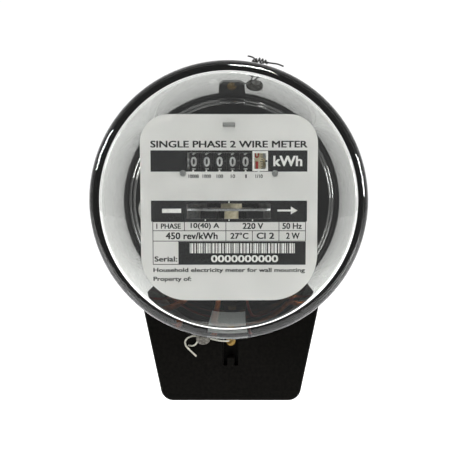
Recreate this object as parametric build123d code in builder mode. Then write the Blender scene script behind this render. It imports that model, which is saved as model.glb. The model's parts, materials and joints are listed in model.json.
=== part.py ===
"""Single-phase induction watt-hour meter with a round glass cover and a drum register.

Millimetres, +Z up, +X to the reader's right, -Y towards the reader. The origin is on the
glass cover's axis, in the plane of the wall that the meter hangs on.
"""
import os
from math import atan2, cos, degrees, pi, radians, sin, sqrt, tan

from build123d import *

# ---------------------------------------------------------------- driving dimensions
# case
base_radius = 69.8
base_depth = 26.0
base_floor = 6.0
base_wall = 3.0
meter_depth = 112.0
glass_radius = 64.5
glass_wall = 4.8
glass_face = 3.5
glass_corner = 5.0
glass_inner_corner = 2.0
glass_dome = 1.0
flange_radius = 70.3
flange_thickness = 3.5
gasket_thickness = 1.0
gasket_width = 1.8
ear_width = 17.0
ear_corner = 4.0
ear_thickness = 12.0
top_ear_reach = 80.6
bottom_ear_reach = 72.8
top_screw_height = 75.4
bottom_screw_height = 69.2

# terminal chamber and its cover
chamber_side_room = 4.8
chamber_taper = 13.0
chamber_top = -44.0
chamber_bottom = -108.0
chamber_corner = 7.0
chamber_inset = 0.8
cover_rim = 29.4
cover_front = 72.0
cover_wall = 2.5
cover_screw_height = -75.6
channel_half = 3.9
channel_depth = 4.0
channel_bottom = -88.5
entry_half = 30.0
entry_reach = 48.0

# screws: head radius and head height
frame_head = (3.0, 2.0)
magnet_head = (2.4, 1.6)
lever_head = (2.2, 1.2)
register_head = (2.0, 1.4)
plate_head = (1.5, 0.9)
cover_lid_head = (2.4, 2.4)

# terminals
terminal_pitch = 17.0
terminal_count = 4
terminal_width = 11.0
terminal_depth = 12.0
terminal_length = 22.0
terminal_axis = 23.0
cable_bore = 3.25
cable_bore_length = 19.0
block_end_wall = 1.0
block_half = (terminal_count - 1) * terminal_pitch / 2 + terminal_width / 2 + block_end_wall
chamber_bottom_half = block_half + chamber_side_room
chamber_top_half = chamber_bottom_half + chamber_taper
block_front = 34.0
block_bottom = -98.0
block_lip = 1.0
terminal_screw_drops = (6.0, 15.0)

# rotor and magnets
rotor_depth = 52.0
disc_level = -4.0
disc_radius = 40.0
disc_thickness = 1.1
pole_gap = 1.05
spindle_radius = 1.5
pivot_radius = 1.0
hub_radius = 6.0
worm_radius = 2.3
worm_throw = 0.5
worm_turns = 8
magnet_radius = 10.0
magnet_x = -36.0
slot_half = 1.3

# mechanism frame
frame_back = 8.0
frame_plate = 3.0
frame_half = 44.0
frame_wall = 3.0
frame_top = 40.0
frame_bottom = -36.0
plate_bottom = -42.0
bridge_back = 44.0
frame_front = 58.0
bridge_height = 4.0

# register
drum_radius = 8.75
drum_rim = 4.2
drum_pitch = 6.15
drum_first = -16.8
drum_depth = 89.0
drum_level = 19.1
drum_count = 6
shaft_radius = 1.0
transfer_shaft_radius = 0.8
cheek_inner = 23.0
cheek_thickness = 1.5
train_module = 0.6
wheel_module = 0.45
wheel_teeth = 50
driver_teeth = 10
driven_teeth = 30
transfer_module = 0.76
drum_gear_teeth = 20
transfer_teeth = 8

# nameplate
plate_half = 41.7
plate_high = 40.9
plate_low = -46.8
plate_face = 100.8
plate_thickness = 0.8
plate_top_corner = 13.3
plate_bottom_corner = 21.4
plate_screw_x = 21.6
plate_screw_z = 13.4

# fits
running = 0.05
screw_tip_room = 1.0
thread_fit = 0.05
clear = 0.3

# ---------------------------------------------------------------- values that follow
gasket_front = base_depth + gasket_thickness
flange_front = gasket_front + flange_thickness
glass_inner = glass_radius - glass_wall
frame_face = frame_back + frame_plate
disc_top = disc_level + disc_thickness / 2
disc_bottom = disc_level - disc_thickness / 2
terminal_xs = [(i - (terminal_count - 1) / 2) * terminal_pitch for i in range(terminal_count)]
terminal_top = block_bottom + block_lip + terminal_length
terminal_front = terminal_axis + terminal_depth / 2
terminal_back = terminal_axis - terminal_depth / 2
worm_pitch = pi * wheel_module
worm_addendum_room = 0.2
worm_pitch_radius = worm_radius + worm_addendum_room
wheel_radius = wheel_module * wheel_teeth / 2
wheel_depth = rotor_depth + worm_pitch_radius + wheel_radius
wheel_level = 18.6
train_distance = train_module * (driver_teeth + driven_teeth) / 2
transfer_distance = transfer_module * (drum_gear_teeth + transfer_teeth) / 2
transfer_angle = radians(60)
transfer_depth = drum_depth - transfer_distance * cos(transfer_angle)
transfer_level = drum_level - transfer_distance * sin(transfer_angle)
drum_xs = [drum_first + i * drum_pitch for i in range(drum_count)]
gear_width = 1.5
train_room = 1.5
train_space = 1.0
train_first = cheek_inner + cheek_thickness + train_room
train_second = train_first + gear_width + train_space
plate_back = plate_face - plate_thickness


def front(depth):
    """Plane at a depth from the wall, facing the reader: local x is X and local y is Z."""
    return Plane((0, -depth, 0), x_dir=(1, 0, 0), z_dir=(0, -1, 0))


def slotted_screws(seat, centres, head, shank_radius, length):
    """Screws that face the reader, with heads on the plane at the depth seat."""
    head_radius, head_height = head
    slot_width = head_radius / 4
    slot_turn = 35
    with BuildPart() as screws:
        with BuildSketch(front(seat)):
            with Locations(*centres):
                Circle(head_radius)
        extrude(amount=head_height)
        with BuildSketch(front(seat + head_height)):
            with Locations(*centres):
                Rectangle(2 * head_radius, slot_width, rotation=slot_turn)
        extrude(amount=-head_height / 2, mode=Mode.SUBTRACT)
        with BuildSketch(front(seat)):
            with Locations(*centres):
                Circle(shank_radius)
        extrude(amount=-length)
    return screws


def tooth_ring(teeth, root, tip, root_width, tip_width, turn=0.0):
    """Inside a sketch: straight-sided teeth on a circle of the root radius."""
    sunk = root / 10
    with PolarLocations(0, teeth, start_angle=turn):
        Polygon((root - sunk, -root_width / 2), (tip, -tip_width / 2), (tip, tip_width / 2),
                (root - sunk, root_width / 2), align=None)


def gear_sketch(teeth, module, turn=0.0):
    """Inside a sketch: a gear with thin teeth that leave backlash on both flanks."""
    pitch_radius = module * teeth / 2
    root = pitch_radius - 1.1 * module
    Circle(root)
    tooth_ring(teeth, root, pitch_radius + 0.8 * module, 1.7 * module, 0.6 * module, turn)


def wire(points, bends, radius):
    """A round wire along straight runs joined by arcs."""
    with BuildPart() as rod:
        with BuildLine() as path:
            FilletPolyline(*points, radius=bends)
        with BuildSketch(Plane(origin=points[0], z_dir=path.line % 0)):
            Circle(radius)
        sweep(path=path.line)
    return rod


def largest_bends(points):
    """Bend radii as large as the two runs beside each point allow."""
    share = 0.45
    radii = []
    for before, here, after in zip(points, points[1:], points[2:]):
        arriving = Vector(*here) - Vector(*before)
        leaving = Vector(*after) - Vector(*here)
        half_turn = radians(arriving.get_angle(leaving)) / 2
        radii.append(share * min(arriving.length, leaving.length) / tan(half_turn))
    return radii


def chamber_shape(inset):
    """The tapered chamber below the round case, drawn inset mm smaller on its free sides."""
    high = chamber_top_half - inset
    low = chamber_bottom_half - inset
    floor = chamber_bottom + inset
    with BuildSketch() as outline:
        Polygon((-high, chamber_top), (-low, floor), (low, floor), (high, chamber_top), align=None)
        fillet(outline.vertices().group_by(Axis.Y)[0], max(chamber_corner - inset, 1.0))
    return outline.sketch


def dome_radius(half_width):
    """Radius of the shallow dome that rises by glass_dome over half its width."""
    return (half_width ** 2 + glass_dome ** 2) / (2 * glass_dome)


def ear_sketch(reach, side):
    """Inside a sketch: a rounded ear that leaves the round case at the top or the bottom."""
    root = base_radius - base_wall - ear_corner
    with Locations((0, side * (reach + root) / 2)):
        RectangleRounded(ear_width, reach - root, ear_corner)


# ---------------------------------------------------------------- moulded base
chamber_depth = cover_rim - clear
lead_xs = terminal_xs[:2]
voltage_wire_xs = terminal_xs[1:3]
voltage_wire_depth = terminal_back + 1.5
lead_radius = 1.5
voltage_wire_radius = 0.7
lead_hole_clearance = 0.5
lead_hole_length = 18.0
frame_post_x = 36.0
frame_post_z = 30.0
frame_posts = [(x, z) for x in (-frame_post_x, frame_post_x) for z in (-frame_post_z, frame_post_z)]
post_radius = 5.0
frame_screw_radius = 1.5
hanger_level = 50.0
hanger_half = 11.0
hanger_thickness = 1.5
hanger_pocket = 4.4
hanger_ledge = 2.5
hanger_side_ledge = 4.5
keyhole_radius = 4.5
keyhole_slot = 5.0
keyhole_rise = 6.0
hanger_screw_x = 9.0
hanger_screw_radius = 0.9
wall_hole_radius = 2.75
wall_hole_x = 36.5
wall_hole_z = -66.0
insert_radius = 2.6
cover_shank = 1.6
cover_screw_spots = [(0, top_screw_height), (0, -bottom_screw_height)]
round_inside = base_radius - base_wall
entry_notch_back = 16.0

chamber_outer = chamber_shape(chamber_inset)
chamber_hollow = chamber_shape(chamber_inset + base_wall)

with BuildPart() as base:
    with BuildSketch(front(0)):
        Circle(base_radius)
        add(chamber_outer)
    extrude(amount=base_floor)
    with BuildSketch(front(base_floor)):
        Circle(base_radius)
    extrude(amount=base_depth - base_floor)
    with BuildSketch(front(base_floor)):
        add(chamber_outer)
    extrude(amount=chamber_depth - base_floor)
    with BuildSketch(front(base_depth - ear_thickness)):
        ear_sketch(top_ear_reach, 1)
        ear_sketch(bottom_ear_reach, -1)
    extrude(amount=ear_thickness)
    with BuildSketch(front(base_floor)):
        Circle(round_inside)
    extrude(amount=chamber_depth, mode=Mode.SUBTRACT)
    with BuildSketch(front(base_floor)):
        add(chamber_hollow)
        Circle(base_radius, mode=Mode.SUBTRACT)
        with Locations((0, -bottom_screw_height)):
            Rectangle(ear_width, 2 * (bottom_ear_reach - bottom_screw_height), mode=Mode.SUBTRACT)
    extrude(amount=chamber_depth, mode=Mode.SUBTRACT)
    with BuildSketch(front(base_depth)):
        Circle(flange_radius + clear)
        with Locations((0, -bottom_screw_height)):
            Rectangle(ear_width + 2 * clear, 2 * (bottom_ear_reach - bottom_screw_height + clear))
    extrude(amount=chamber_depth, mode=Mode.SUBTRACT)
    with BuildSketch(front(entry_notch_back)):
        with Locations((0, chamber_bottom)):
            Rectangle(2 * entry_half, 4 * base_wall)
    extrude(amount=chamber_depth, mode=Mode.SUBTRACT)
    with BuildSketch(front(base_floor)):
        with Locations(*frame_posts):
            Circle(post_radius)
    extrude(amount=frame_back - base_floor)
    with BuildSketch(front(frame_back)):
        with Locations(*frame_posts):
            Circle(frame_screw_radius + thread_fit)
    extrude(amount=-frame_back / 2, mode=Mode.SUBTRACT)
    with BuildSketch(front(base_depth)):
        with Locations(*cover_screw_spots):
            Circle(insert_radius)
    extrude(amount=-ear_thickness + base_wall, mode=Mode.SUBTRACT)
    with BuildSketch(front(0)):
        with Locations((0, hanger_level)):
            Rectangle(2 * hanger_half, 2 * hanger_half)
    extrude(amount=hanger_thickness, mode=Mode.SUBTRACT)
    with BuildSketch(front(0)):
        with Locations((0, hanger_level)):
            Rectangle(2 * (hanger_half - hanger_side_ledge), 2 * (hanger_half - hanger_ledge))
    extrude(amount=hanger_pocket, mode=Mode.SUBTRACT)
    with BuildSketch(front(0)):
        with Locations((-hanger_screw_x, hanger_level), (hanger_screw_x, hanger_level)):
            Circle(hanger_screw_radius + thread_fit)
        with Locations((-wall_hole_x, wall_hole_z), (wall_hole_x, wall_hole_z)):
            Circle(wall_hole_radius)
    extrude(amount=base_floor, mode=Mode.SUBTRACT)
    with BuildSketch(Plane.XY.offset(-bottom_ear_reach)):
        with Locations(*[(x, -terminal_axis) for x in lead_xs]):
            Circle(lead_radius + lead_hole_clearance)
        with Locations(*[(x, -voltage_wire_depth) for x in voltage_wire_xs]):
            Circle(voltage_wire_radius + lead_hole_clearance)
    extrude(amount=lead_hole_length, mode=Mode.SUBTRACT)
base.part.label = "base"

with BuildPart() as base_inserts:
    insert_length = ear_thickness - base_wall
    with BuildSketch(front(base_depth - insert_length)):
        with Locations(*cover_screw_spots):
            Circle(insert_radius)
            Circle(cover_shank + thread_fit, mode=Mode.SUBTRACT)
    extrude(amount=insert_length)
base_inserts.part.label = "base_inserts"

with BuildPart() as hanger_plate:
    with BuildSketch(front(0)):
        with Locations((0, hanger_level)):
            Rectangle(2 * hanger_half, 2 * hanger_half)
            Circle(keyhole_radius, mode=Mode.SUBTRACT)
        with Locations((0, hanger_level + keyhole_rise / 2)):
            SlotCenterToCenter(keyhole_rise, keyhole_slot, rotation=90, mode=Mode.SUBTRACT)
        with Locations((-hanger_screw_x, hanger_level), (hanger_screw_x, hanger_level)):
            Circle(hanger_screw_radius, mode=Mode.SUBTRACT)
    extrude(amount=hanger_thickness)
hanger_plate.part.label = "hanger_plate"

with BuildPart() as hanger_rivets:
    with BuildSketch(front(0)):
        with Locations((-hanger_screw_x, hanger_level), (hanger_screw_x, hanger_level)):
            Circle(hanger_screw_radius)
    extrude(amount=base_floor)
    with BuildSketch(front(base_floor)):
        with Locations((-hanger_screw_x, hanger_level), (hanger_screw_x, hanger_level)):
            Circle(2 * hanger_screw_radius)
    extrude(amount=hanger_screw_radius)
hanger_rivets.part.label = "hanger_rivets"

# ---------------------------------------------------------------- glass cover and what it carries
with BuildPart() as cover_gasket:
    with BuildSketch(front(base_depth)):
        Circle(round_inside + gasket_width)
        Circle(round_inside, mode=Mode.SUBTRACT)
        with Locations(*cover_screw_spots):
            Circle(cover_shank + clear, mode=Mode.SUBTRACT)
    extrude(amount=gasket_thickness)
cover_gasket.part.label = "cover_gasket"

washer_thickness = 0.8
washer_radius = 3.0
cover_head_radius = 2.4
cover_head_height = 2.0
cover_head = (cover_head_radius, cover_head_height)
washer_face = flange_front + washer_thickness

with BuildPart() as glass_cover:
    with BuildSketch(Plane.XY) as cup:
        with BuildLine():
            Polyline((glass_inner, -gasket_front), (flange_radius, -gasket_front),
                     (flange_radius, -flange_front), (glass_radius, -flange_front),
                     (glass_radius, -meter_depth + glass_dome))
            RadiusArc((glass_radius, -meter_depth + glass_dome), (0, -meter_depth),
                      dome_radius(glass_radius))
            Polyline((0, -meter_depth), (0, -meter_depth + glass_face))
            RadiusArc((0, -meter_depth + glass_face),
                      (glass_inner, -meter_depth + glass_face + glass_dome),
                      -dome_radius(glass_inner))
            Polyline((glass_inner, -meter_depth + glass_face + glass_dome),
                     (glass_inner, -gasket_front))
        make_face()
        fillet(cup.vertices().sort_by_distance((glass_radius, -meter_depth))[0], glass_corner)
        fillet(cup.vertices().sort_by_distance((glass_inner, -meter_depth + glass_face))[0],
               glass_inner_corner)
    revolve(axis=Axis.Y)
    with BuildSketch(front(gasket_front)):
        ear_sketch(top_ear_reach, 1)
        ear_sketch(bottom_ear_reach, -1)
        Circle(glass_inner, mode=Mode.SUBTRACT)
    extrude(amount=flange_thickness)
    with BuildSketch(front(gasket_front)):
        with Locations(*cover_screw_spots):
            Circle(cover_shank + clear)
    extrude(amount=flange_thickness, mode=Mode.SUBTRACT)
glass_cover.part.label = "glass_cover"

with BuildPart() as cover_washers:
    with BuildSketch(front(flange_front)):
        with Locations(*cover_screw_spots):
            Circle(washer_radius)
            Circle(cover_shank + clear, mode=Mode.SUBTRACT)
    extrude(amount=washer_thickness)
cover_washers.part.label = "cover_washers"

cover_screws = slotted_screws(washer_face, cover_screw_spots, cover_head, cover_shank,
                              washer_face - base_depth + insert_length - screw_tip_room)
cover_screws.part.label = "cover_screws"

sticker_left = -11.0
sticker_right = 8.4
sticker_back = 67.5
sticker_front = 96.5
sticker_thickness = 0.25

with BuildPart() as inspection_sticker:
    with BuildSketch(front(sticker_back)):
        Circle(glass_radius + sticker_thickness)
        Circle(glass_radius, mode=Mode.SUBTRACT)
        with Locations(((sticker_left + sticker_right) / 2, -glass_radius)):
            Rectangle(sticker_right - sticker_left, glass_radius / 2, mode=Mode.INTERSECT)
    extrude(amount=sticker_front - sticker_back)
inspection_sticker.part.label = "inspection_sticker"

# ---------------------------------------------------------------- seals
top_seal_spot = (15.0, 75.8)
top_seal_radius = 4.5
top_seal_thickness = 4.5
seal_wire_radius = 0.45
wire_depth = washer_face + cover_head_height + seal_wire_radius
top_seal_back = wire_depth - top_seal_thickness / 2
top_wire_points = [
    (1.6, -wire_depth, 75.6), (6.6, -wire_depth, 76.9), (12.6, -wire_depth, 77.6),
    (15.4, -wire_depth, 80.4), (18.8, -wire_depth, 83.2), (23.8, -wire_depth, 82.2),
    (27.6, -wire_depth, 81.9), (30.8, -wire_depth, 80.4)]
top_end_points = [
    (12.4, -34.95, 77.2), (12.6, -35.25, 79.8), (14.6, -35.05, 82.8), (12.8, -35.35, 85.6),
    (9.4, -34.95, 86.2)]

bottom_seal_spot = (-14.6, -72.6)
bottom_seal_radius = 3.6
bottom_seal_thickness = 4.0
bottom_seal_back = cover_front + clear
front_wire_depth = bottom_seal_back + bottom_seal_thickness / 2
terminal_wire_points = [
    (-1.0, -71.0, -75.2), (-3.4, -73.2, -74.9), (-7.6, -74.2, -73.9), (-11.6, -74.3, -72.8),
    (-16.2, -74.3, -71.9), (-20.6, -74.4, -71.3), (-24.3, -74.9, -73.4), (-24.2, -75.1, -76.6),
    (-21.4, -74.7, -79.6), (-18.4, -74.3, -82.6)]
terminal_end_points = [
    (-17.2, -front_wire_depth, -73.8), (-18.5, -front_wire_depth, -76.2),
    (-20.6, -73.7, -77.4), (-22.8, -73.5, -76.8)]


def seal_disc(spot, radius, back, thickness, routes):
    """A crimped seal: a disc with rounded rims, closed on the wires that run through it."""
    with BuildPart() as seal:
        with BuildSketch(front(back)):
            with Locations(spot):
                Circle(radius)
        extrude(amount=thickness)
        fillet(seal.edges().filter_by(GeomType.CIRCLE), thickness / 4)
        for points in routes:
            add(wire(points, largest_bends(points), seal_wire_radius + running).part,
                mode=Mode.SUBTRACT)
    return seal


cover_seal = seal_disc(top_seal_spot, top_seal_radius, top_seal_back, top_seal_thickness,
                       [top_wire_points, top_end_points])
terminal_seal = seal_disc(bottom_seal_spot, bottom_seal_radius, bottom_seal_back,
                          bottom_seal_thickness, [terminal_wire_points, terminal_end_points])
cover_seal.part.label = "cover_seal"
terminal_seal.part.label = "terminal_seal"

cover_seal_wire = wire(top_wire_points, largest_bends(top_wire_points), seal_wire_radius)
cover_seal_wire.part.label = "cover_seal_wire"
cover_seal_wire_end = wire(top_end_points, largest_bends(top_end_points), seal_wire_radius)
cover_seal_wire_end.part.label = "cover_seal_wire_end"
terminal_seal_wire = wire(terminal_wire_points, largest_bends(terminal_wire_points), seal_wire_radius)
terminal_seal_wire.part.label = "terminal_seal_wire"
terminal_seal_wire_end = wire(terminal_end_points, largest_bends(terminal_end_points),
                              seal_wire_radius)
terminal_seal_wire_end.part.label = "terminal_seal_wire_end"

# ---------------------------------------------------------------- terminal block
terminal_clearance = 0.2
terminal_screw_gap = 1.0
post_half = 5.0
post_top = -bottom_ear_reach - clear
terminal_screw_radius = 2.0
terminal_head_radius = 3.0
terminal_head = (terminal_head_radius, 2.0)
terminal_screw_spots = [(x, terminal_top - rise) for x in terminal_xs for rise in terminal_screw_drops]
screw_well_radius = terminal_head_radius + 2 * terminal_clearance
cover_screw_shank = 1.9
block_screw_x = 17.0
block_screw_drop = 3.0
block_screw_radius = 1.6
block_screw_spots = [(side * block_screw_x, terminal_top - block_screw_drop) for side in (-1, 1)]
block_foot = 10.0

with BuildPart() as terminal_block:
    with BuildSketch(front(base_floor)):
        with Locations((0, (terminal_top + block_bottom) / 2)):
            Rectangle(2 * block_half, terminal_top - block_bottom)
        with Locations((0, (terminal_top + post_top) / 2)):
            Rectangle(2 * post_half, post_top - terminal_top)
    extrude(amount=block_front - base_floor)
    with BuildSketch(Plane.XY.offset(block_bottom)):
        with Locations(*[(x, -terminal_axis) for x in terminal_xs]):
            Rectangle(terminal_width + 2 * terminal_clearance, terminal_depth + 2 * terminal_clearance)
    extrude(amount=terminal_top - block_bottom, mode=Mode.SUBTRACT)
    with BuildSketch(front(terminal_axis)):
        with Locations(*terminal_screw_spots):
            Circle(screw_well_radius)
    extrude(amount=block_front, mode=Mode.SUBTRACT)
    with BuildSketch(front(block_front)):
        with Locations((0, cover_screw_height)):
            Circle(cover_screw_shank + thread_fit)
    extrude(amount=base_floor - block_front + base_wall, mode=Mode.SUBTRACT)
    with BuildSketch(front(0)):
        with Locations(*block_screw_spots):
            Circle(block_screw_radius + thread_fit)
    extrude(amount=block_foot + base_floor, mode=Mode.SUBTRACT)
terminal_block.part.label = "terminal_block"

with BuildPart() as block_screws:
    with BuildSketch(front(base_floor)):
        with Locations(*block_screw_spots):
            Circle(block_screw_radius)
    extrude(amount=block_foot - screw_tip_room)
block_screws.part.label = "block_screws"

with BuildPart() as terminals:
    with BuildSketch(Plane.XY.offset(terminal_top)):
        with Locations(*[(x, -terminal_axis) for x in terminal_xs]):
            Rectangle(terminal_width, terminal_depth)
    extrude(amount=-terminal_length)
    with BuildSketch(Plane.XY.offset(terminal_top - terminal_length)):
        with Locations(*[(x, -terminal_axis) for x in terminal_xs]):
            Circle(cable_bore)
    extrude(amount=cable_bore_length, mode=Mode.SUBTRACT)
    with BuildSketch(front(terminal_axis)):
        with Locations(*terminal_screw_spots):
            Circle(terminal_screw_radius + thread_fit)
    extrude(amount=terminal_depth, mode=Mode.SUBTRACT)
terminals.part.label = "terminals"

terminal_screw_seat = terminal_front + terminal_screw_gap
terminal_screws = slotted_screws(terminal_screw_seat, terminal_screw_spots, terminal_head,
                                 terminal_screw_radius,
                                 terminal_screw_seat - terminal_axis - cable_bore - clear)
terminal_screws.part.label = "terminal_screws"

neutral_length = 25.0
neutral_depth = 7.0
neutral_thickness = 2.0
neutral_offset = 1.5
neutral_shift = 0.5
neutral_middle = (terminal_xs[2] + terminal_xs[3]) / 2 + neutral_shift

with BuildPart() as neutral_bar:
    with BuildSketch(Plane.XY.offset(terminal_top)):
        with Locations((neutral_middle, -terminal_axis - neutral_offset)):
            Rectangle(neutral_length, neutral_depth)
    extrude(amount=neutral_thickness)
neutral_bar.part.label = "neutral_bar"

# ---------------------------------------------------------------- terminal cover
cover_outer = chamber_shape(0)
cover_hollow = chamber_shape(cover_wall)
notch_half = ear_width / 2 + clear
notch_floor = -bottom_ear_reach - clear
boss_radius = 4.0
boss_gap = 1.0
boss_back = block_front + boss_gap
boss_drop = 2.0
cover_edge = 0.75
lug_half = 1.9
lug_top = -84.0
lug_hole = 0.8
lug_rise = 1.5
cover_slot_floor = cover_front - channel_depth

with BuildPart() as terminal_cover:
    with BuildSketch(front(cover_rim)) as cover_outline:
        add(cover_outer)
        Circle(flange_radius + 2 * clear, mode=Mode.SUBTRACT)
        with Locations((0, -flange_radius)):
            Rectangle(2 * notch_half, 2 * (-notch_floor - flange_radius), mode=Mode.SUBTRACT)
    extrude(amount=cover_front - cover_rim)
    front_edges = terminal_cover.faces().sort_by(Axis.Y)[0].edges()
    chamfer(front_edges, cover_edge)
    with BuildSketch(front(cover_rim)):
        add(cover_hollow)
        Circle(flange_radius + 2 * clear + cover_wall, mode=Mode.SUBTRACT)
        with Locations((0, -flange_radius)):
            Rectangle(2 * (notch_half + cover_wall), 2 * (-notch_floor - flange_radius + cover_wall),
                      mode=Mode.SUBTRACT)
    extrude(amount=cover_front - cover_wall - cover_rim, mode=Mode.SUBTRACT)
    with BuildSketch(front(cover_slot_floor - cover_wall)):
        with Locations((0, (notch_floor + channel_bottom) / 2)):
            Rectangle(2 * (channel_half + cover_wall), notch_floor - channel_bottom + 2 * cover_wall)
        Circle(flange_radius + 2 * clear, mode=Mode.SUBTRACT)
        with Locations((0, -flange_radius)):
            Rectangle(2 * notch_half, 2 * (-notch_floor - flange_radius), mode=Mode.SUBTRACT)
    extrude(amount=channel_depth)
    with BuildSketch(front(cover_slot_floor)):
        with Locations((0, (notch_floor + channel_bottom) / 2)):
            Rectangle(2 * channel_half, notch_floor - channel_bottom)
    extrude(amount=channel_depth, mode=Mode.SUBTRACT)
    with BuildSketch(front(boss_back)):
        with Locations((0, cover_screw_height - boss_drop)):
            Rectangle(2 * boss_radius, 2 * boss_radius)
        with Locations((0, cover_screw_height)):
            Circle(boss_radius)
        with Locations((0, notch_floor + boss_radius)):
            Rectangle(2 * boss_radius, 2 * boss_radius, mode=Mode.SUBTRACT)
    extrude(amount=cover_slot_floor - boss_back)
    with BuildSketch(front(0)):
        with Locations((0, cover_screw_height)):
            Circle(cover_screw_shank + clear)
    extrude(amount=cover_front, mode=Mode.SUBTRACT)
    with BuildSketch(front(cover_slot_floor)):
        with Locations((0, (lug_top + channel_bottom) / 2)):
            Rectangle(2 * lug_half, lug_top - channel_bottom)
    extrude(amount=channel_depth + lug_rise)
    with BuildSketch(Plane.YZ.offset(-lug_half)):
        with Locations((-cover_front, (lug_top + channel_bottom) / 2)):
            Circle(lug_hole)
    extrude(amount=2 * lug_half, mode=Mode.SUBTRACT)
    with BuildSketch(front(0)):
        with Locations((0, chamber_bottom)):
            Rectangle(2 * entry_half, 4 * cover_wall)
    extrude(amount=entry_reach, mode=Mode.SUBTRACT)
    with BuildSketch(front(0)):
        with Locations((0, (post_top + block_bottom) / 2)):
            Rectangle(2 * (block_half + clear), post_top - block_bottom + 2 * clear)
    extrude(amount=block_front + clear, mode=Mode.SUBTRACT)
terminal_cover.part.label = "terminal_cover"

terminal_cover_screw = slotted_screws(cover_slot_floor, [(0, cover_screw_height)], cover_lid_head,
                                      cover_screw_shank,
                                      cover_slot_floor - base_floor - 2 * base_wall)
terminal_cover_screw.part.label = "terminal_cover_screw"

# ---------------------------------------------------------------- mechanism frame
window_half = 17.0
window_low = -30.0
window_high = 32.0
voltage_post_x = 22.0
voltage_post_levels = (8.0, 34.0)
current_post_x = 16.0
current_post_level = -38.0
post_spots = [(side * voltage_post_x, level) for side in (-1, 1) for level in voltage_post_levels]
post_spots += [(side * current_post_x, current_post_level) for side in (-1, 1)]
core_post_radius = 2.5
core_back = 16.0
core_front = 34.0
bearing_radius = 4.0

with BuildPart() as frame_casting:
    with BuildSketch(front(frame_back)):
        with Locations((0, (plate_bottom + frame_top) / 2)):
            Rectangle(2 * frame_half, frame_top - plate_bottom)
        with Locations((0, (window_low + window_high) / 2)):
            Rectangle(2 * window_half, window_high - window_low, mode=Mode.SUBTRACT)
        with Locations(*frame_posts):
            Circle(frame_screw_radius + clear, mode=Mode.SUBTRACT)
    extrude(amount=frame_plate)
    with BuildSketch(front(frame_face)):
        with Locations(*[(side * (frame_half - frame_wall / 2), (frame_bottom + frame_top) / 2)
                         for side in (-1, 1)]):
            Rectangle(frame_wall, frame_top - frame_bottom)
    extrude(amount=frame_front - frame_face)
    with BuildSketch(front(bridge_back)):
        for level in (frame_top - bridge_height / 2, frame_bottom + bridge_height / 2):
            with Locations((0, level)):
                Rectangle(2 * frame_half, bridge_height)
    extrude(amount=frame_front - bridge_back)
    with BuildSketch(front(frame_face)):
        with Locations(*post_spots):
            Circle(core_post_radius)
    extrude(amount=core_back - frame_face)
    with BuildSketch(Plane.XY.offset(frame_bottom)):
        with Locations((0, -rotor_depth)):
            Circle(bearing_radius)
    extrude(amount=frame_top - frame_bottom, mode=Mode.SUBTRACT)
frame_casting.part.label = "frame_casting"

frame_screws = slotted_screws(frame_face, frame_posts, frame_head, frame_screw_radius,
                              frame_plate + frame_back / 2 - screw_tip_room)
frame_screws.part.label = "frame_screws"

# ---------------------------------------------------------------- electromagnets
voltage_core_half = 26.0
voltage_limb = 8.0
voltage_centre_half = 6.0
voltage_core_top = 40.0
voltage_core_low = 1.5
voltage_tip = disc_top + pole_gap
coil_half = 13.0
coil_low = 8.0
coil_high = 30.0
coil_back = 12.0
coil_front = 38.0
bobbin_flange = 1.5
winding_step = 0.5
winding_corner = 1.0
coil_winding_half = coil_half - winding_step

with BuildPart() as voltage_core:
    with BuildSketch(front(core_back)):
        with Locations((0, (voltage_core_low + voltage_core_top) / 2)):
            Rectangle(2 * voltage_core_half, voltage_core_top - voltage_core_low)
        with Locations((0, (voltage_core_low + voltage_core_top) / 2 - voltage_limb / 2)):
            Rectangle(2 * (voltage_core_half - voltage_limb),
                      voltage_core_top - voltage_core_low - voltage_limb, mode=Mode.SUBTRACT)
        with Locations((0, (voltage_tip + voltage_core_top) / 2)):
            Rectangle(2 * voltage_centre_half, voltage_core_top - voltage_tip)
    extrude(amount=core_front - core_back)
voltage_core.part.label = "voltage_core"

with BuildPart() as voltage_bobbin:
    limb_width = 2 * (voltage_centre_half + running)
    limb_depth = core_front - core_back + 2 * running
    coil_middle = -(core_back + core_front) / 2
    for low, high, half_x, half_y in (
            (coil_low - bobbin_flange, coil_low, coil_half, (coil_front - coil_back) / 2),
            (coil_low, coil_high, voltage_centre_half + bobbin_flange,
             (core_front - core_back) / 2 + bobbin_flange),
            (coil_high, coil_high + bobbin_flange, coil_half, (coil_front - coil_back) / 2)):
        with BuildSketch(Plane.XY.offset(low)):
            with Locations((0, coil_middle)):
                Rectangle(2 * half_x, 2 * half_y)
                Rectangle(limb_width, limb_depth, mode=Mode.SUBTRACT)
        extrude(amount=high - low)
voltage_bobbin.part.label = "voltage_bobbin"

with BuildPart() as voltage_coil:
    with BuildSketch(Plane.XY.offset(coil_low)):
        with Locations((0, coil_middle)):
            RectangleRounded(2 * coil_winding_half, coil_front - coil_back - 2 * winding_step,
                             winding_corner)
            Rectangle(2 * (voltage_centre_half + bobbin_flange),
                      core_front - core_back + 2 * bobbin_flange, mode=Mode.SUBTRACT)
    extrude(amount=coil_high - coil_low)
voltage_coil.part.label = "voltage_coil"

current_half = 19.0
pole_width = 10.0
current_low = -42.0
yoke_height = 8.0
current_tip = disc_bottom - pole_gap
current_coil_low = -32.0
current_coil_high = -13.0
current_wrap = 2.8
pole_x = current_half - pole_width / 2

with BuildPart() as current_core:
    with BuildSketch(front(core_back)):
        with Locations((0, (current_low + current_tip) / 2)):
            Rectangle(2 * current_half, current_tip - current_low)
        with Locations((0, (current_low + yoke_height + current_tip) / 2)):
            Rectangle(2 * (current_half - pole_width), current_tip - current_low - yoke_height,
                      mode=Mode.SUBTRACT)
    extrude(amount=core_front - core_back)
current_core.part.label = "current_core"

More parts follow.
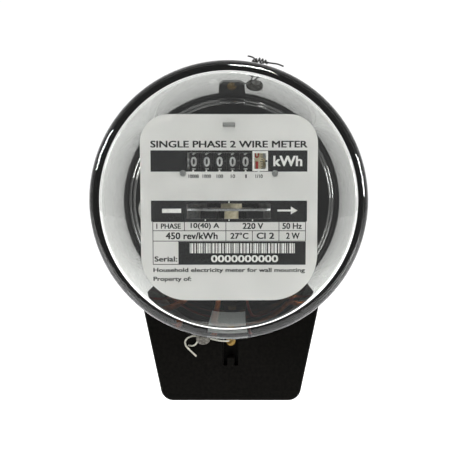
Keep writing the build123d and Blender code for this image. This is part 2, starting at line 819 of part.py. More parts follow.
with BuildPart() as current_coils:
    with BuildSketch(Plane.XY.offset(current_coil_low)):
        with Locations(*[(side * pole_x, coil_middle) for side in (-1, 1)]):
            RectangleRounded(pole_width + 2 * current_wrap,
                             core_front - core_back + 2 * current_wrap, current_wrap)
            Rectangle(pole_width + 2 * running, core_front - core_back + 2 * running,
                      mode=Mode.SUBTRACT)
    extrude(amount=current_coil_high - current_coil_low)
current_coils.part.label = "current_coils"

coil_side = pole_x + pole_width / 2 + current_wrap
lead_loop_gap = 5.0
lead_loop_x = coil_side + lead_loop_gap
lead_level = -48.0
lead_entry = -20.0
first_lead = [(lead_xs[0], -terminal_axis, terminal_top), (lead_xs[0], -terminal_axis, lead_entry),
              (-coil_side, -terminal_axis, lead_entry)]
second_lead = [(lead_xs[1], -terminal_axis, terminal_top), (lead_xs[1], -terminal_axis, lead_level),
               (lead_loop_x, -terminal_axis, lead_level), (lead_loop_x, -terminal_axis, lead_entry),
               (coil_side, -terminal_axis, lead_entry)]
lead_bend = 3.0
with BuildPart() as current_leads:
    for route in (first_lead, second_lead):
        add(wire(route, lead_bend, lead_radius).part)
current_leads.part.label = "current_leads"

wire_back = 13.2
wire_side_x = 30.0
wire_turn = -52.0
wire_end_level = 16.0
wire_rise = 6.0
wire_bend = 2.0
with BuildPart() as voltage_leads:
    for side, start in zip((-1, 1), voltage_wire_xs):
        route = [(start, -voltage_wire_depth, terminal_top), (start, -voltage_wire_depth, wire_turn),
                 (side * wire_side_x, -wire_back, wire_turn + wire_rise),
                 (side * wire_side_x, -wire_back, wire_end_level),
                 (side * coil_winding_half, -wire_back, wire_end_level)]
        add(wire(route, wire_bend, voltage_wire_radius).part)
voltage_leads.part.label = "voltage_leads"

# ---------------------------------------------------------------- rotor
spindle_low = -22.0
spindle_high = 28.0
pivot_length = 3.5
hub_low = -14.0
hub_high = 4.5
lower_hub_radius = 4.0
rotor_axis = (0, -rotor_depth)

with BuildPart() as rotor_disc:
    with BuildSketch(Plane.XY.offset(disc_bottom)):
        with Locations(rotor_axis):
            Circle(disc_radius)
            Circle(spindle_radius, mode=Mode.SUBTRACT)
    extrude(amount=disc_thickness)
rotor_disc.part.label = "rotor_disc"

with BuildPart() as disc_hub:
    for low, high, radius in ((disc_top, hub_high, hub_radius), (hub_low, disc_bottom, lower_hub_radius)):
        with BuildSketch(Plane.XY.offset(low)):
            with Locations(rotor_axis):
                Circle(radius)
                Circle(spindle_radius, mode=Mode.SUBTRACT)
        extrude(amount=high - low)
disc_hub.part.label = "disc_hub"

with BuildSketch() as worm_section:
    with Locations((0, -worm_throw)):
        Circle(worm_radius)
worm_length = worm_pitch * worm_turns
worm_low_level = wheel_level - worm_length / 2 - worm_pitch / 2
worm_thread = Solid.extrude_linear_with_rotation(
    worm_section.sketch.faces()[0].moved(Location((0, -rotor_depth, worm_low_level))),
    (0, -rotor_depth, worm_low_level), (0, 0, worm_length), 360 * worm_turns)

with BuildPart() as spindle:
    for low, high, radius in ((spindle_low - pivot_length, spindle_low, pivot_radius),
                              (spindle_low, spindle_high, spindle_radius),
                              (spindle_high, spindle_high + pivot_length, pivot_radius)):
        with BuildSketch(Plane.XY.offset(low)):
            with Locations(rotor_axis):
                Circle(radius)
        extrude(amount=high - low)
    add(worm_thread)
spindle.part.label = "spindle"

bearing_cap = 2.0
with BuildPart() as spindle_bearings:
    for mouth, end in ((spindle_high + clear, frame_top + bearing_cap),
                       (spindle_low - clear, frame_bottom - bearing_cap)):
        with BuildSketch(Plane.XY.offset(mouth)):
            with Locations(rotor_axis):
                Circle(bearing_radius)
        extrude(amount=end - mouth)
        with BuildSketch(Plane.XY.offset(mouth)):
            with Locations(rotor_axis):
                Circle(pivot_radius + running)
        extrude(amount=pivot_length if end > mouth else -pivot_length, mode=Mode.SUBTRACT)
spindle_bearings.part.label = "spindle_bearings"

# ---------------------------------------------------------------- brake magnet
magnet_back = 61.0
magnet_front = 85.0
magnet_web = 3.5
slot_end = magnet_x - magnet_radius + magnet_web
bracket_right = -28.0
bracket_low = -14.0
bracket_high = 5.0
magnet_screw_rise = 6.6
magnet_screw_radius = 1.4
magnet_screw_spots = [(magnet_x, disc_level + side * magnet_screw_rise) for side in (-1, 1)]


def cut_disc_slot():
    """Inside a sketch: the slot that lets the disc turn through the magnet."""
    with Locations(((slot_end + magnet_radius) / 2, disc_level)):
        Rectangle(magnet_radius - slot_end, 2 * slot_half, mode=Mode.SUBTRACT)
    with Locations(*magnet_screw_spots):
        Circle(magnet_screw_radius + running, mode=Mode.SUBTRACT)


with BuildPart() as brake_magnet:
    with BuildSketch(front(magnet_back)):
        with Locations((magnet_x, disc_level)):
            Circle(magnet_radius)
        cut_disc_slot()
    extrude(amount=magnet_front - magnet_back)
brake_magnet.part.label = "brake_magnet"

with BuildPart() as magnet_bracket:
    with BuildSketch(front(frame_front)):
        with Locations(((magnet_x - magnet_radius + bracket_right) / 2, (bracket_low + bracket_high) / 2)):
            Rectangle(bracket_right - magnet_x + magnet_radius, bracket_high - bracket_low)
        cut_disc_slot()
    extrude(amount=magnet_back - frame_front)
magnet_bracket.part.label = "magnet_bracket"

magnet_screws = slotted_screws(magnet_front, magnet_screw_spots, magnet_head, magnet_screw_radius,
                               magnet_front - frame_front)
magnet_screws.part.label = "magnet_screws"

lever_x = 20.0
lever_level = frame_bottom + bridge_height / 2
lever_length = 18.0
lever_half = 1.8
lever_boss = 2.8
lever_thickness = 1.0
lever_pin_radius = 1.2

with BuildPart() as low_load_lever:
    with BuildSketch(front(frame_front + clear)):
        with Locations((lever_x, lever_level)):
            Circle(lever_boss)
        with Locations((lever_x + lever_length / 2, lever_level)):
            Rectangle(lever_length, 2 * lever_half)
        with Locations((lever_x, lever_level)):
            Circle(lever_pin_radius + running, mode=Mode.SUBTRACT)
    extrude(amount=lever_thickness)
low_load_lever.part.label = "low_load_lever"

lever_pin = slotted_screws(frame_front + lever_thickness + 2 * clear, [(lever_x, lever_level)],
                           lever_head, lever_pin_radius, lever_thickness + 2 * clear)
lever_pin.part.label = "lever_pin"

# ---------------------------------------------------------------- register frame
axis_gap = sqrt((drum_depth - wheel_depth) ** 2 + (drum_level - wheel_level) ** 2)
idler_rise = sqrt(train_distance ** 2 - axis_gap ** 2 / 4)
idler_depth = (wheel_depth + drum_depth) / 2 - idler_rise * (drum_level - wheel_level) / axis_gap
idler_level = (wheel_level + drum_level) / 2 + idler_rise * (drum_depth - wheel_depth) / axis_gap
cheek_low = 6.0
cheek_high = 32.0
cheek_outer = cheek_inner + cheek_thickness
flange_inner = 19.2
flange_sheet = 1.2
web_window_half = 3.5
web_window_top = 31.0
tab_half = 2.7
tab_low = 35.4
tab_high = 36.9
tab_reach = 1.5
register_screw_x = 16.0
register_screw_level = frame_top - bridge_height / 2
tube_radius = 2.2
plate_screw_radius = 1.0
plate_screw_spots = [(side * plate_screw_x, plate_screw_z) for side in (-1, 1)]
register_screw_spots = [(side * register_screw_x, register_screw_level) for side in (-1, 1)]
cheek_middle = (cheek_low + cheek_high) / 2


def across(x):
    """Plane across the register at x: local x is Y and local y is Z."""
    return Plane.YZ.offset(x)


with BuildPart() as register_frame:
    with BuildSketch(front(frame_front)):
        with Locations((0, (cheek_low + frame_top) / 2)):
            Rectangle(2 * cheek_outer, frame_top - cheek_low)
        with Locations((0, (cheek_low + web_window_top) / 2)):
            Rectangle(2 * web_window_half, web_window_top - cheek_low, mode=Mode.SUBTRACT)
        with Locations(*register_screw_spots):
            Circle(plate_screw_radius + running, mode=Mode.SUBTRACT)
    extrude(amount=cheek_thickness)
    for left in (-cheek_outer, cheek_inner):
        with BuildSketch(across(left)):
            with Locations((-(frame_front + plate_back) / 2, cheek_middle)):
                Rectangle(plate_back - frame_front, cheek_high - cheek_low)
        extrude(amount=cheek_thickness)
    with BuildSketch(front(plate_back)):
        with Locations(*[(side * (flange_inner + cheek_outer) / 2, cheek_middle) for side in (-1, 1)]):
            Rectangle(cheek_outer - flange_inner, cheek_high - cheek_low)
        with Locations(*plate_screw_spots):
            Circle(plate_screw_radius + running, mode=Mode.SUBTRACT)
    extrude(amount=-flange_sheet)
    with BuildSketch(front(frame_front)):
        with Locations((0, (tab_low + tab_high) / 2)):
            Rectangle(2 * tab_half, tab_high - tab_low)
    extrude(amount=plate_face + tab_reach - frame_front)
    for spot, radius in (((-wheel_depth, wheel_level), shaft_radius + running),
                         ((-transfer_depth, transfer_level), transfer_shaft_radius)):
        with BuildSketch(across(-cheek_outer)):
            with Locations(spot):
                Circle(radius)
        extrude(amount=2 * cheek_outer, mode=Mode.SUBTRACT)
    with BuildSketch(across(-cheek_outer)):
        with Locations((-drum_depth, drum_level)):
            Circle(shaft_radius)
    extrude(amount=cheek_thickness, mode=Mode.SUBTRACT)
    with BuildSketch(across(cheek_inner)):
        with Locations((-idler_depth, idler_level)):
            Circle(shaft_radius + running)
        with Locations((-drum_depth, drum_level)):
            Circle(tube_radius + running)
    extrude(amount=cheek_thickness, mode=Mode.SUBTRACT)
register_frame.part.label = "register_frame"

register_screws = slotted_screws(frame_front + cheek_thickness, register_screw_spots, register_head,
                                 plate_screw_radius, cheek_thickness)
register_screws.part.label = "register_screws"

train_end = train_second + gear_width
collar_radius = 1.9
side_gap = 0.2

with BuildPart() as drum_shaft:
    with BuildSketch(across(-cheek_outer)):
        with Locations((-drum_depth, drum_level)):
            Circle(shaft_radius)
    extrude(amount=cheek_outer + train_end)
    with BuildSketch(across(-cheek_inner)):
        with Locations((-drum_depth, drum_level)):
            Circle(collar_radius)
    extrude(amount=cheek_inner + drum_xs[0] - drum_rim / 2 - side_gap)
drum_shaft.part.label = "drum_shaft"

pinion_side_gap = 0.15
pinion_width = drum_pitch - drum_rim - 2 * pinion_side_gap
pinion_starts = [x + drum_rim / 2 + pinion_side_gap for x in drum_xs[:-1]]
spacer_radius = 1.3
spacer_gap = 0.1

with BuildPart() as transfer_shaft:
    with BuildSketch(across(-cheek_outer)):
        with Locations((-transfer_depth, transfer_level)):
            Circle(transfer_shaft_radius)
    extrude(amount=2 * cheek_outer)
    for low, high in zip([-cheek_inner] + [x + pinion_width + spacer_gap for x in pinion_starts],
                         [x - spacer_gap for x in pinion_starts] + [cheek_inner]):
        with BuildSketch(across(low)):
            with Locations((-transfer_depth, transfer_level)):
                Circle(spacer_radius)
        extrude(amount=high - low)
transfer_shaft.part.label = "transfer_shaft"

# ---------------------------------------------------------------- gear train and drums


def heading(start, end):
    """Direction in degrees, in the YZ plane, from one axis to another given as (depth, level)."""
    return degrees(atan2(end[1] - start[1], start[0] - end[0]))


wheel_axis = (wheel_depth, wheel_level)
idler_axis = (idler_depth, idler_level)
drum_axis = (drum_depth, drum_level)
transfer_axis = (transfer_depth, transfer_level)
to_idler = heading(wheel_axis, idler_axis)
to_drum = heading(idler_axis, drum_axis)
to_transfer = heading(drum_axis, transfer_axis)
half_step = 180 / driven_teeth
worm_wheel_width = 3.0

with BuildPart() as worm_wheel:
    wheel_root = wheel_radius - 1.1 * wheel_module
    with BuildSketch(across(-worm_wheel_width / 2)):
        with Locations((-wheel_depth, wheel_level)):
            Circle(wheel_root)
            tooth_ring(wheel_teeth, wheel_root, wheel_radius + 0.85 * wheel_module,
                       1.3 * wheel_module, 0.55 * wheel_module)
    extrude(amount=worm_wheel_width)
    with BuildSketch(across(-cheek_outer)):
        with Locations((-wheel_depth, wheel_level)):
            Circle(shaft_radius)
    extrude(amount=cheek_outer + train_first)
    with BuildSketch(across(train_first)):
        with Locations((-wheel_depth, wheel_level)):
            gear_sketch(driver_teeth, train_module, to_idler)
    extrude(amount=gear_width)
worm_wheel.part.label = "worm_wheel"

with BuildPart() as idler_gear:
    with BuildSketch(across(cheek_inner - cheek_thickness)):
        with Locations((-idler_depth, idler_level)):
            Circle(shaft_radius)
    extrude(amount=train_second - cheek_inner + cheek_thickness)
    with BuildSketch(across(train_first)):
        with Locations((-idler_depth, idler_level)):
            gear_sketch(driven_teeth, train_module, to_idler + 180 + half_step)
    extrude(amount=gear_width)
    with BuildSketch(across(train_second)):
        with Locations((-idler_depth, idler_level)):
            gear_sketch(driver_teeth, train_module, to_drum)
    extrude(amount=gear_width)
idler_gear.part.label = "idler_gear"

drum_names = ["drum_10000", "drum_1000", "drum_100", "drum_10", "drum_1", "drum_tenths"]
drum_shell = 1.5
drum_web = 1.2
drum_gear_width = 0.95
carry_width = 0.8
carry_disc_radius = 5.8
carry_tooth_radius = 6.6
carry_tooth_width = 1.6
drums = []
for number, (name, middle) in enumerate(zip(drum_names, drum_xs)):
    left = middle - drum_rim / 2
    right = middle + drum_rim / 2
    with BuildPart() as drum:
        with BuildSketch(across(left)):
            with Locations((-drum_depth, drum_level)):
                Circle(drum_radius)
                Circle(drum_radius - drum_shell, mode=Mode.SUBTRACT)
        extrude(amount=drum_rim)
        with BuildSketch(across(right - drum_web)):
            with Locations((-drum_depth, drum_level)):
                Circle(drum_radius - drum_shell)
        extrude(amount=drum_web)
        with BuildSketch(across(left)):
            with Locations((-drum_depth, drum_level)):
                Circle(tube_radius)
        extrude(amount=drum_rim)
        if number < drum_count - 1:
            with BuildSketch(across(right)):
                with Locations((-drum_depth, drum_level)):
                    gear_sketch(drum_gear_teeth, transfer_module, to_transfer)
            extrude(amount=drum_gear_width)
        else:
            with BuildSketch(across(right)):
                with Locations((-drum_depth, drum_level)):
                    Circle(tube_radius)
            extrude(amount=train_second - right)
            with BuildSketch(across(train_second)):
                with Locations((-drum_depth, drum_level)):
                    gear_sketch(driven_teeth, train_module, to_drum + 180 + half_step)
            extrude(amount=gear_width)
        if number > 0:
            with BuildSketch(across(left - carry_width)):
                with Locations((-drum_depth, drum_level)):
                    Circle(carry_disc_radius)
                    tooth_ring(2, carry_disc_radius, carry_tooth_radius, carry_tooth_width,
                               carry_tooth_width / 2)
            extrude(amount=carry_width)
        with BuildSketch(across(left - carry_width)):
            with Locations((-drum_depth, drum_level)):
                Circle(shaft_radius + running)
        extrude(amount=train_end - left + carry_width, mode=Mode.SUBTRACT)
    drum.part.label = name
    drums.append(drum)

pinions = []
for number, start in enumerate(pinion_starts, 1):
    with BuildPart() as pinion:
        with BuildSketch(across(start)):
            with Locations((-transfer_depth, transfer_level)):
                gear_sketch(transfer_teeth, transfer_module, to_transfer + 180 + 180 / transfer_teeth)
                Circle(transfer_shaft_radius + running, mode=Mode.SUBTRACT)
        extrude(amount=pinion_width)
    pinion.part.label = f"transfer_pinion_{number}"
    pinions.append(pinion)

# ---------------------------------------------------------------- nameplate
drum_window = (-19.4, 10.6, 15.2, 23.0)
tenths_window = (12.2, 17.6, 15.2, 23.0)
disc_window = (-19.8, 19.5, -8.0, -0.8)
slot_room = 0.2

with BuildPart() as nameplate:
    with BuildSketch(front(plate_back)) as plate_sketch:
        with Locations((0, (plate_low + plate_high) / 2)):
            Rectangle(2 * plate_half, plate_high - plate_low)
        fillet(plate_sketch.vertices().group_by(Axis.Y)[0], plate_bottom_corner)
        fillet(plate_sketch.vertices().group_by(Axis.Y)[-1], plate_top_corner)
        for west, east, low, high in (drum_window, tenths_window, disc_window,
                                      (-tab_half - slot_room, tab_half + slot_room,
                                       tab_low - slot_room, tab_high + slot_room)):
            with Locations(((west + east) / 2, (low + high) / 2)):
                Rectangle(east - west, high - low, mode=Mode.SUBTRACT)
        with Locations(*plate_screw_spots):
            Circle(plate_screw_radius + running, mode=Mode.SUBTRACT)
    extrude(amount=plate_thickness)
nameplate.part.label = "nameplate"

nameplate_screws = slotted_screws(plate_face, plate_screw_spots, plate_head, plate_screw_radius,
                                  plate_thickness + flange_sheet)
nameplate_screws.part.label = "nameplate_screws"

# ---------------------------------------------------------------- export
os.makedirs("parts", exist_ok=True)
case_pieces = [base, base_inserts, hanger_plate, hanger_rivets, cover_gasket]
glass_pieces = [glass_cover, cover_washers, cover_screws, inspection_sticker, cover_seal,
                cover_seal_wire, cover_seal_wire_end]
terminal_pieces = [terminal_block, block_screws, terminals, terminal_screws, neutral_bar,
                   terminal_cover, terminal_cover_screw, terminal_seal, terminal_seal_wire,
                   terminal_seal_wire_end]
magnet_pieces = [voltage_core, voltage_bobbin, voltage_coil, current_core, current_coils,
                 current_leads, voltage_leads, brake_magnet, magnet_bracket, magnet_screws]
frame_pieces = [frame_casting, frame_screws, low_load_lever, lever_pin, spindle_bearings]
rotor_pieces = [rotor_disc, disc_hub, spindle]
register_pieces = [register_frame, register_screws, drum_shaft, transfer_shaft, worm_wheel,
                   idler_gear, nameplate, nameplate_screws]
for piece in (case_pieces + glass_pieces + terminal_pieces + magnet_pieces + frame_pieces
              + rotor_pieces + register_pieces + drums + pinions):
    export_step(piece.part, f"parts/{piece.part.label}.step")
for name, points in (("cover seal wire", top_wire_points), ("terminal seal wire", terminal_wire_points)):
    print(name, "bend radii", [round(radius, 1) for radius in largest_bends(points)])
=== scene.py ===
# %% [markdown]
# # A household electricity meter, dressed and lit
# The frame already holds every part of the meter as a plain solid. This lesson gives each
# part its real finish, and remakes the pieces whose looks need more than a plain solid:
# the pressed glass cup, the printing, the figures on the drums, the seals and their wires.

# %% Load the frame
import json
from math import cos, pi, radians, sin

import bmesh
import bpy
from mathutils import Matrix, Vector

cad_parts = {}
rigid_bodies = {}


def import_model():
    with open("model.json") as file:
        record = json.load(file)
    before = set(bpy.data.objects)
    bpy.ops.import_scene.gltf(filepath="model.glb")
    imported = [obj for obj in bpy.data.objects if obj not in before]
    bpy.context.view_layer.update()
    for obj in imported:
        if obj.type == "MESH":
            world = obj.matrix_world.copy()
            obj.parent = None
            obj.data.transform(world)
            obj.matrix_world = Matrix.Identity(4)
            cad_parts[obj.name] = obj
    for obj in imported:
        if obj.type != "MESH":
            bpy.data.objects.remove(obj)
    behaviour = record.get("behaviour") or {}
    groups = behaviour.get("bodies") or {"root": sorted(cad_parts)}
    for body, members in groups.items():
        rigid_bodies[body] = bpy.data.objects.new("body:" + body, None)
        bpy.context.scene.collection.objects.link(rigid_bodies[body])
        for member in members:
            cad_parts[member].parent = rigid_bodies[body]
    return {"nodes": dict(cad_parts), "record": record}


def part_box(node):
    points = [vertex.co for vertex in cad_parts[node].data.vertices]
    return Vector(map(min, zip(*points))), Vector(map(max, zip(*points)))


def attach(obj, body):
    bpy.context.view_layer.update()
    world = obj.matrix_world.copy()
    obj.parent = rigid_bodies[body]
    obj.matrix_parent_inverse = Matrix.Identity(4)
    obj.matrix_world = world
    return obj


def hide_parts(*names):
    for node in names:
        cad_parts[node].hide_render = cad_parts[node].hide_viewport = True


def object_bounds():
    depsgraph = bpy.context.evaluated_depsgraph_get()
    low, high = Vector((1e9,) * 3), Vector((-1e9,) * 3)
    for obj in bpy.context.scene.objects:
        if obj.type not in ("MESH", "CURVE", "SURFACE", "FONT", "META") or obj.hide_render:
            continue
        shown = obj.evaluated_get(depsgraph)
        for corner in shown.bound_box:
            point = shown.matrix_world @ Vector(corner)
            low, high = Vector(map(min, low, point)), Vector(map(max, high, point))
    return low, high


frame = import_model()
cad_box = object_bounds()
MM = 0.001
print("nodes in the frame:", len(frame["nodes"]))

# %% [markdown]
# The camera stands very close, about a third of a metre from the wall, so the glass cup's
# front looms larger than the base behind it. It looks slightly down. A lens is set by its
# field of view, and a small sideways shift puts the meter where it belongs in the frame
# without turning the camera, so the plate's top and bottom edges stay parallel.

# %% Camera
CAMERA_SPOT = Vector((6.6, -342.0, 0.9)) * MM
CAMERA_DOWN = 3.38
CAMERA_SHIFT = -0.0283
FIELD_OF_VIEW = 48.7

bpy.ops.object.camera_add(location=CAMERA_SPOT)
camera = bpy.context.object
camera.name = "camera"
camera.rotation_euler = (radians(90 - CAMERA_DOWN), 0, 0)
camera.data.shift_x = CAMERA_SHIFT
camera.data.angle = radians(FIELD_OF_VIEW)
camera.data.clip_start = 0.01
bpy.context.scene.camera = camera
print("camera stands at", tuple(round(v, 4) for v in camera.location))

# %% [markdown]
# Soft studio light. The world is white behind the meter and dimmer on the reader's side, as
# in a studio with a lit backdrop, so the glass edges show against white and the black case
# stays black. One large panel hangs above in front, and a weaker one stands at each side.
# The plain view transform keeps white as white.

# %% World, lights and floor
BACKDROP_WHITE = 1.05
ROOM_DIM = 0.36

bpy.context.scene.view_settings.view_transform = "Standard"
world = bpy.data.worlds.new("studio")
bpy.context.scene.world = world
world.use_nodes = True
sky = world.node_tree
backdrop = sky.nodes["Background"]
backdrop.inputs["Color"].default_value = (1, 1, 1, 1)
direction = sky.nodes.new("ShaderNodeTexCoord")
split = sky.nodes.new("ShaderNodeSeparateXYZ")
fade = sky.nodes.new("ShaderNodeMapRange")
fade.inputs["From Min"].default_value = -0.25
fade.inputs["From Max"].default_value = 0.25
fade.inputs["To Min"].default_value = ROOM_DIM
fade.inputs["To Max"].default_value = BACKDROP_WHITE
sky.links.new(direction.outputs["Generated"], split.inputs["Vector"])
sky.links.new(split.outputs["Y"], fade.inputs["Value"])
sky.links.new(fade.outputs["Result"], backdrop.inputs["Strength"])


def soft_panel(name, spot, size, power):
    """A square area light that looks at the middle of the meter."""
    bpy.ops.object.light_add(type="AREA", location=spot)
    panel = bpy.context.object
    panel.name = name
    panel.data.size = size
    panel.data.energy = power
    panel.rotation_mode = "QUATERNION"
    panel.rotation_quaternion = (Vector((0, -0.05, 0)) - Vector(spot)).to_track_quat("-Z", "Y")
    return panel


soft_panel("panel_above", (0.10, -0.50, 0.70), 0.22, 6.2)
soft_panel("panel_left", (-0.75, -0.45, 0.30), 0.24, 5.8)
soft_panel("panel_right", (0.75, -0.40, 0.15), 0.24, 5.0)

FLOOR_BELOW = 0.12
FLOOR_LEVEL = cad_box[0][2] - FLOOR_BELOW
FLOOR_SIZE = 6.0
FLOOR_IN_FRONT = 0.5
bpy.ops.mesh.primitive_plane_add(
    size=FLOOR_SIZE, location=(0, FLOOR_SIZE / 2 - FLOOR_IN_FRONT, FLOOR_LEVEL))
floor = bpy.context.object
floor.name = "floor"
print("floor lies at", round(FLOOR_LEVEL, 3))

# %% [markdown]
# Every finish starts from one function that turns a hex colour to linear light, and one
# that adds a node with its settings and links. A material is a Principled shader with its
# constants on its own sockets, and a pattern worked out in millimetres.

# %% Helpers for finishes
def hex_colour(text):
    """sRGB hex to a linear RGBA tuple."""
    channels = [int(text[i:i + 2], 16) / 255 for i in (0, 2, 4)]
    linear = [c / 12.92 if c <= 0.04045 else ((c + 0.055) / 1.055) ** 2.4 for c in channels]
    return (*linear, 1.0)


def add_node(tree, kind, settings=None, values=None, links=None):
    """Add a node, give it its settings and input values, and link its inputs."""
    node = tree.nodes.new(kind)
    for name, value in (settings or {}).items():
        setattr(node, name, value)
    for name, value in (values or {}).items():
        node.inputs[name].default_value = value
    for name, source in (links or {}).items():
        tree.links.new(source, node.inputs[name])
    return node


def new_finish(name, colour, roughness, metallic=0.0, **sockets):
    """A material with a Principled shader whose constants sit on its own sockets."""
    finish = bpy.data.materials.new(name)
    finish.use_nodes = True
    shader = finish.node_tree.nodes["Principled BSDF"]
    shader.inputs["Base Color"].default_value = hex_colour(colour)
    shader.inputs["Roughness"].default_value = roughness
    shader.inputs["Metallic"].default_value = metallic
    for socket, value in sockets.items():
        shader.inputs[socket.replace("_", " ")].default_value = value
    return finish


def place_coordinates(tree, stretch=(1, 1, 1)):
    """Object coordinates, stretched to draw a pattern out along an axis."""
    source = add_node(tree, "ShaderNodeTexCoord")
    mapping = add_node(tree, "ShaderNodeMapping", values={"Scale": stretch},
                       links={"Vector": source.outputs["Object"]})
    return mapping.outputs["Vector"]


def mottle(finish, dark, light, grain_mm, stretch=(1, 1, 1), detail=3.0, spread=(0.35, 0.65)):
    """Vary the colour between two hex values with a noise whose grain is in millimetres."""
    tree = finish.node_tree
    noise = add_node(tree, "ShaderNodeTexNoise", values={"Scale": 1 / (grain_mm * MM), "Detail": detail},
                     links={"Vector": place_coordinates(tree, stretch)})
    ramp = add_node(tree, "ShaderNodeValToRGB", links={"Fac": noise.outputs["Fac"]})
    ramp.color_ramp.elements[0].position = spread[0]
    ramp.color_ramp.elements[1].position = spread[1]
    ramp.color_ramp.elements[0].color = hex_colour(dark)
    ramp.color_ramp.elements[1].color = hex_colour(light)
    tree.links.new(ramp.outputs["Color"], tree.nodes["Principled BSDF"].inputs["Base Color"])


def roughen(finish, grain_mm, height_mm, low=None, high=None, stretch=(1, 1, 1)):
    """Bump from a fine noise, with roughness that follows it between low and high."""
    tree = finish.node_tree
    shader = tree.nodes["Principled BSDF"]
    noise = add_node(tree, "ShaderNodeTexNoise", values={"Scale": 1 / (grain_mm * MM), "Detail": 4.0},
                     links={"Vector": place_coordinates(tree, stretch)})
    bump = add_node(tree, "ShaderNodeBump", values={"Strength": 0.6, "Distance": height_mm * MM},
                    links={"Height": noise.outputs["Fac"]})
    tree.links.new(bump.outputs["Normal"], shader.inputs["Normal"])
    if low is not None:
        span = add_node(tree, "ShaderNodeMapRange", values={"To Min": low, "To Max": high},
                        links={"Value": noise.outputs["Fac"]})
        tree.links.new(span.outputs["Result"], shader.inputs["Roughness"])


def band(finish, axis, pitch_mm, height_mm, dark, light):
    """Fine parallel lines across an axis: the edges of laminations or the turns of a coil."""
    tree = finish.node_tree
    shader = tree.nodes["Principled BSDF"]
    waves = add_node(tree, "ShaderNodeTexWave", {"bands_direction": axis},
                     {"Scale": 2 * pi / (20 * pitch_mm * MM), "Distortion": 0.4, "Detail": 1.0,
                      "Detail Scale": 2.0},
                     {"Vector": place_coordinates(tree)})
    ramp = add_node(tree, "ShaderNodeValToRGB", links={"Fac": waves.outputs["Fac"]})
    ramp.color_ramp.elements[0].color = hex_colour(dark)
    ramp.color_ramp.elements[1].color = hex_colour(light)
    bump = add_node(tree, "ShaderNodeBump", values={"Strength": 0.8, "Distance": height_mm * MM},
                    links={"Height": waves.outputs["Fac"]})
    tree.links.new(ramp.outputs["Color"], shader.inputs["Base Color"])
    tree.links.new(bump.outputs["Normal"], shader.inputs["Normal"])


# %% [markdown]
# The black case is compression-moulded phenolic. The mould leaves it satin, with a very
# faint ripple and pale flecks of wood-flour filler, and handling polishes it unevenly.

# %% Mouldings
phenolic = new_finish("moulded_black_phenolic", "0b0b0a", 0.42, Specular_IOR_Level=0.03)
mottle(phenolic, "050504", "0d0c0a", 1.6)
roughen(phenolic, 0.9, 0.03, 0.34, 0.46)

acetal = new_finish("moulded_natural_acetal", "d9d7ce", 0.4, Subsurface_Weight=0.15)
mottle(acetal, "d2cfc4", "dedcd4", 2.0)
acetal_shader = acetal.node_tree.nodes["Principled BSDF"]
acetal_shader.inputs["Subsurface Radius"].default_value = (0.002, 0.002, 0.002)

cream_nylon = new_finish("moulded_cream_nylon", "cdc4a6", 0.42)
mottle(cream_nylon, "c2b896", "d6cdb2", 1.5)
roughen(cream_nylon, 0.5, 0.02)

drum_black = new_finish("moulded_black_drum", "141517", 0.45)
mottle(drum_black, "101113", "1b1c1e", 1.2)
roughen(drum_black, 0.35, 0.012)

drum_ivory = new_finish("moulded_ivory_drum", "d8cda9", 0.5)
mottle(drum_ivory, "cfc39c", "e2d9ba", 1.2)
roughen(drum_ivory, 0.35, 0.012)

rubber = new_finish("black_gasket_rubber", "101010", 0.75)
mottle(rubber, "0b0b0b", "181818", 0.8)
roughen(rubber, 0.3, 0.03)

red_insulation = new_finish("red_pvc_insulation", "7a1513", 0.38)
mottle(red_insulation, "6c100f", "8a1b18", 3.0)
print("materials after the mouldings:", len(bpy.data.materials))

# %% [markdown]
# Metals keep the default index of refraction. Brass dulls in patches, zinc plating is a
# cool grey with spangles, castings are matt and pitted, and rolled sheet shows its grain.

# %% Metals
brass = new_finish("turned_brass", "94783f", 0.34, 1.0)
mottle(brass, "75592c", "ab9055", 1.2)
roughen(brass, 0.25, 0.015, 0.22, 0.42)

zinc = new_finish("zinc_plated_steel", "a3a5a4", 0.34, 1.0)
mottle(zinc, "8a8c8b", "b9bbba", 0.8)
roughen(zinc, 0.3, 0.012, 0.26, 0.45)

ground_steel = new_finish("ground_steel_rod", "b9bbbd", 0.2, 1.0)
mottle(ground_steel, "a5a7a9", "c8cacc", 0.6, (1, 1, 8))
roughen(ground_steel, 0.1, 0.004, 0.16, 0.28)

cast_alloy = new_finish("die_cast_alloy", "8f9190", 0.5, 0.9)
mottle(cast_alloy, "7d7f7e", "a2a4a2", 1.8)
roughen(cast_alloy, 0.45, 0.06, 0.42, 0.6)

magnet_alloy = new_finish("bright_cast_magnet", "b4b6b5", 0.42, 0.85)
mottle(magnet_alloy, "9fa1a0", "c6c8c6", 1.6)
roughen(magnet_alloy, 0.4, 0.05, 0.34, 0.5)

rolled_disc = new_finish("rolled_aluminium_disc", "c9cbcc", 0.24, 1.0)
mottle(rolled_disc, "b6b8ba", "d6d8d9", 0.7, (8, 1, 1))
roughen(rolled_disc, 0.2, 0.004, 0.2, 0.32, (8, 1, 1))

pressed_sheet = new_finish("pressed_aluminium_sheet", "b6b7b6", 0.38, 1.0)
mottle(pressed_sheet, "a4a5a4", "c4c5c4", 0.8, (1, 1, 6))
roughen(pressed_sheet, 0.3, 0.01, 0.3, 0.46, (1, 1, 6))

laminated_steel = new_finish("laminated_silicon_steel", "4a4b4e", 0.5, 0.8)
band(laminated_steel, "Y", 0.5, 0.06, "2b2c2f", "5c5d60")

copper_winding = new_finish("enamelled_copper_winding", "8c4420", 0.32, 0.7, Coat_Weight=0.5)
band(copper_winding, "Z", 0.45, 0.2, "5a2712", "a5562a")

copper_bar = new_finish("drawn_copper_bar", "a65f3a", 0.35, 1.0)
mottle(copper_bar, "7d4227", "b9704a", 1.5)
roughen(copper_bar, 0.3, 0.01)

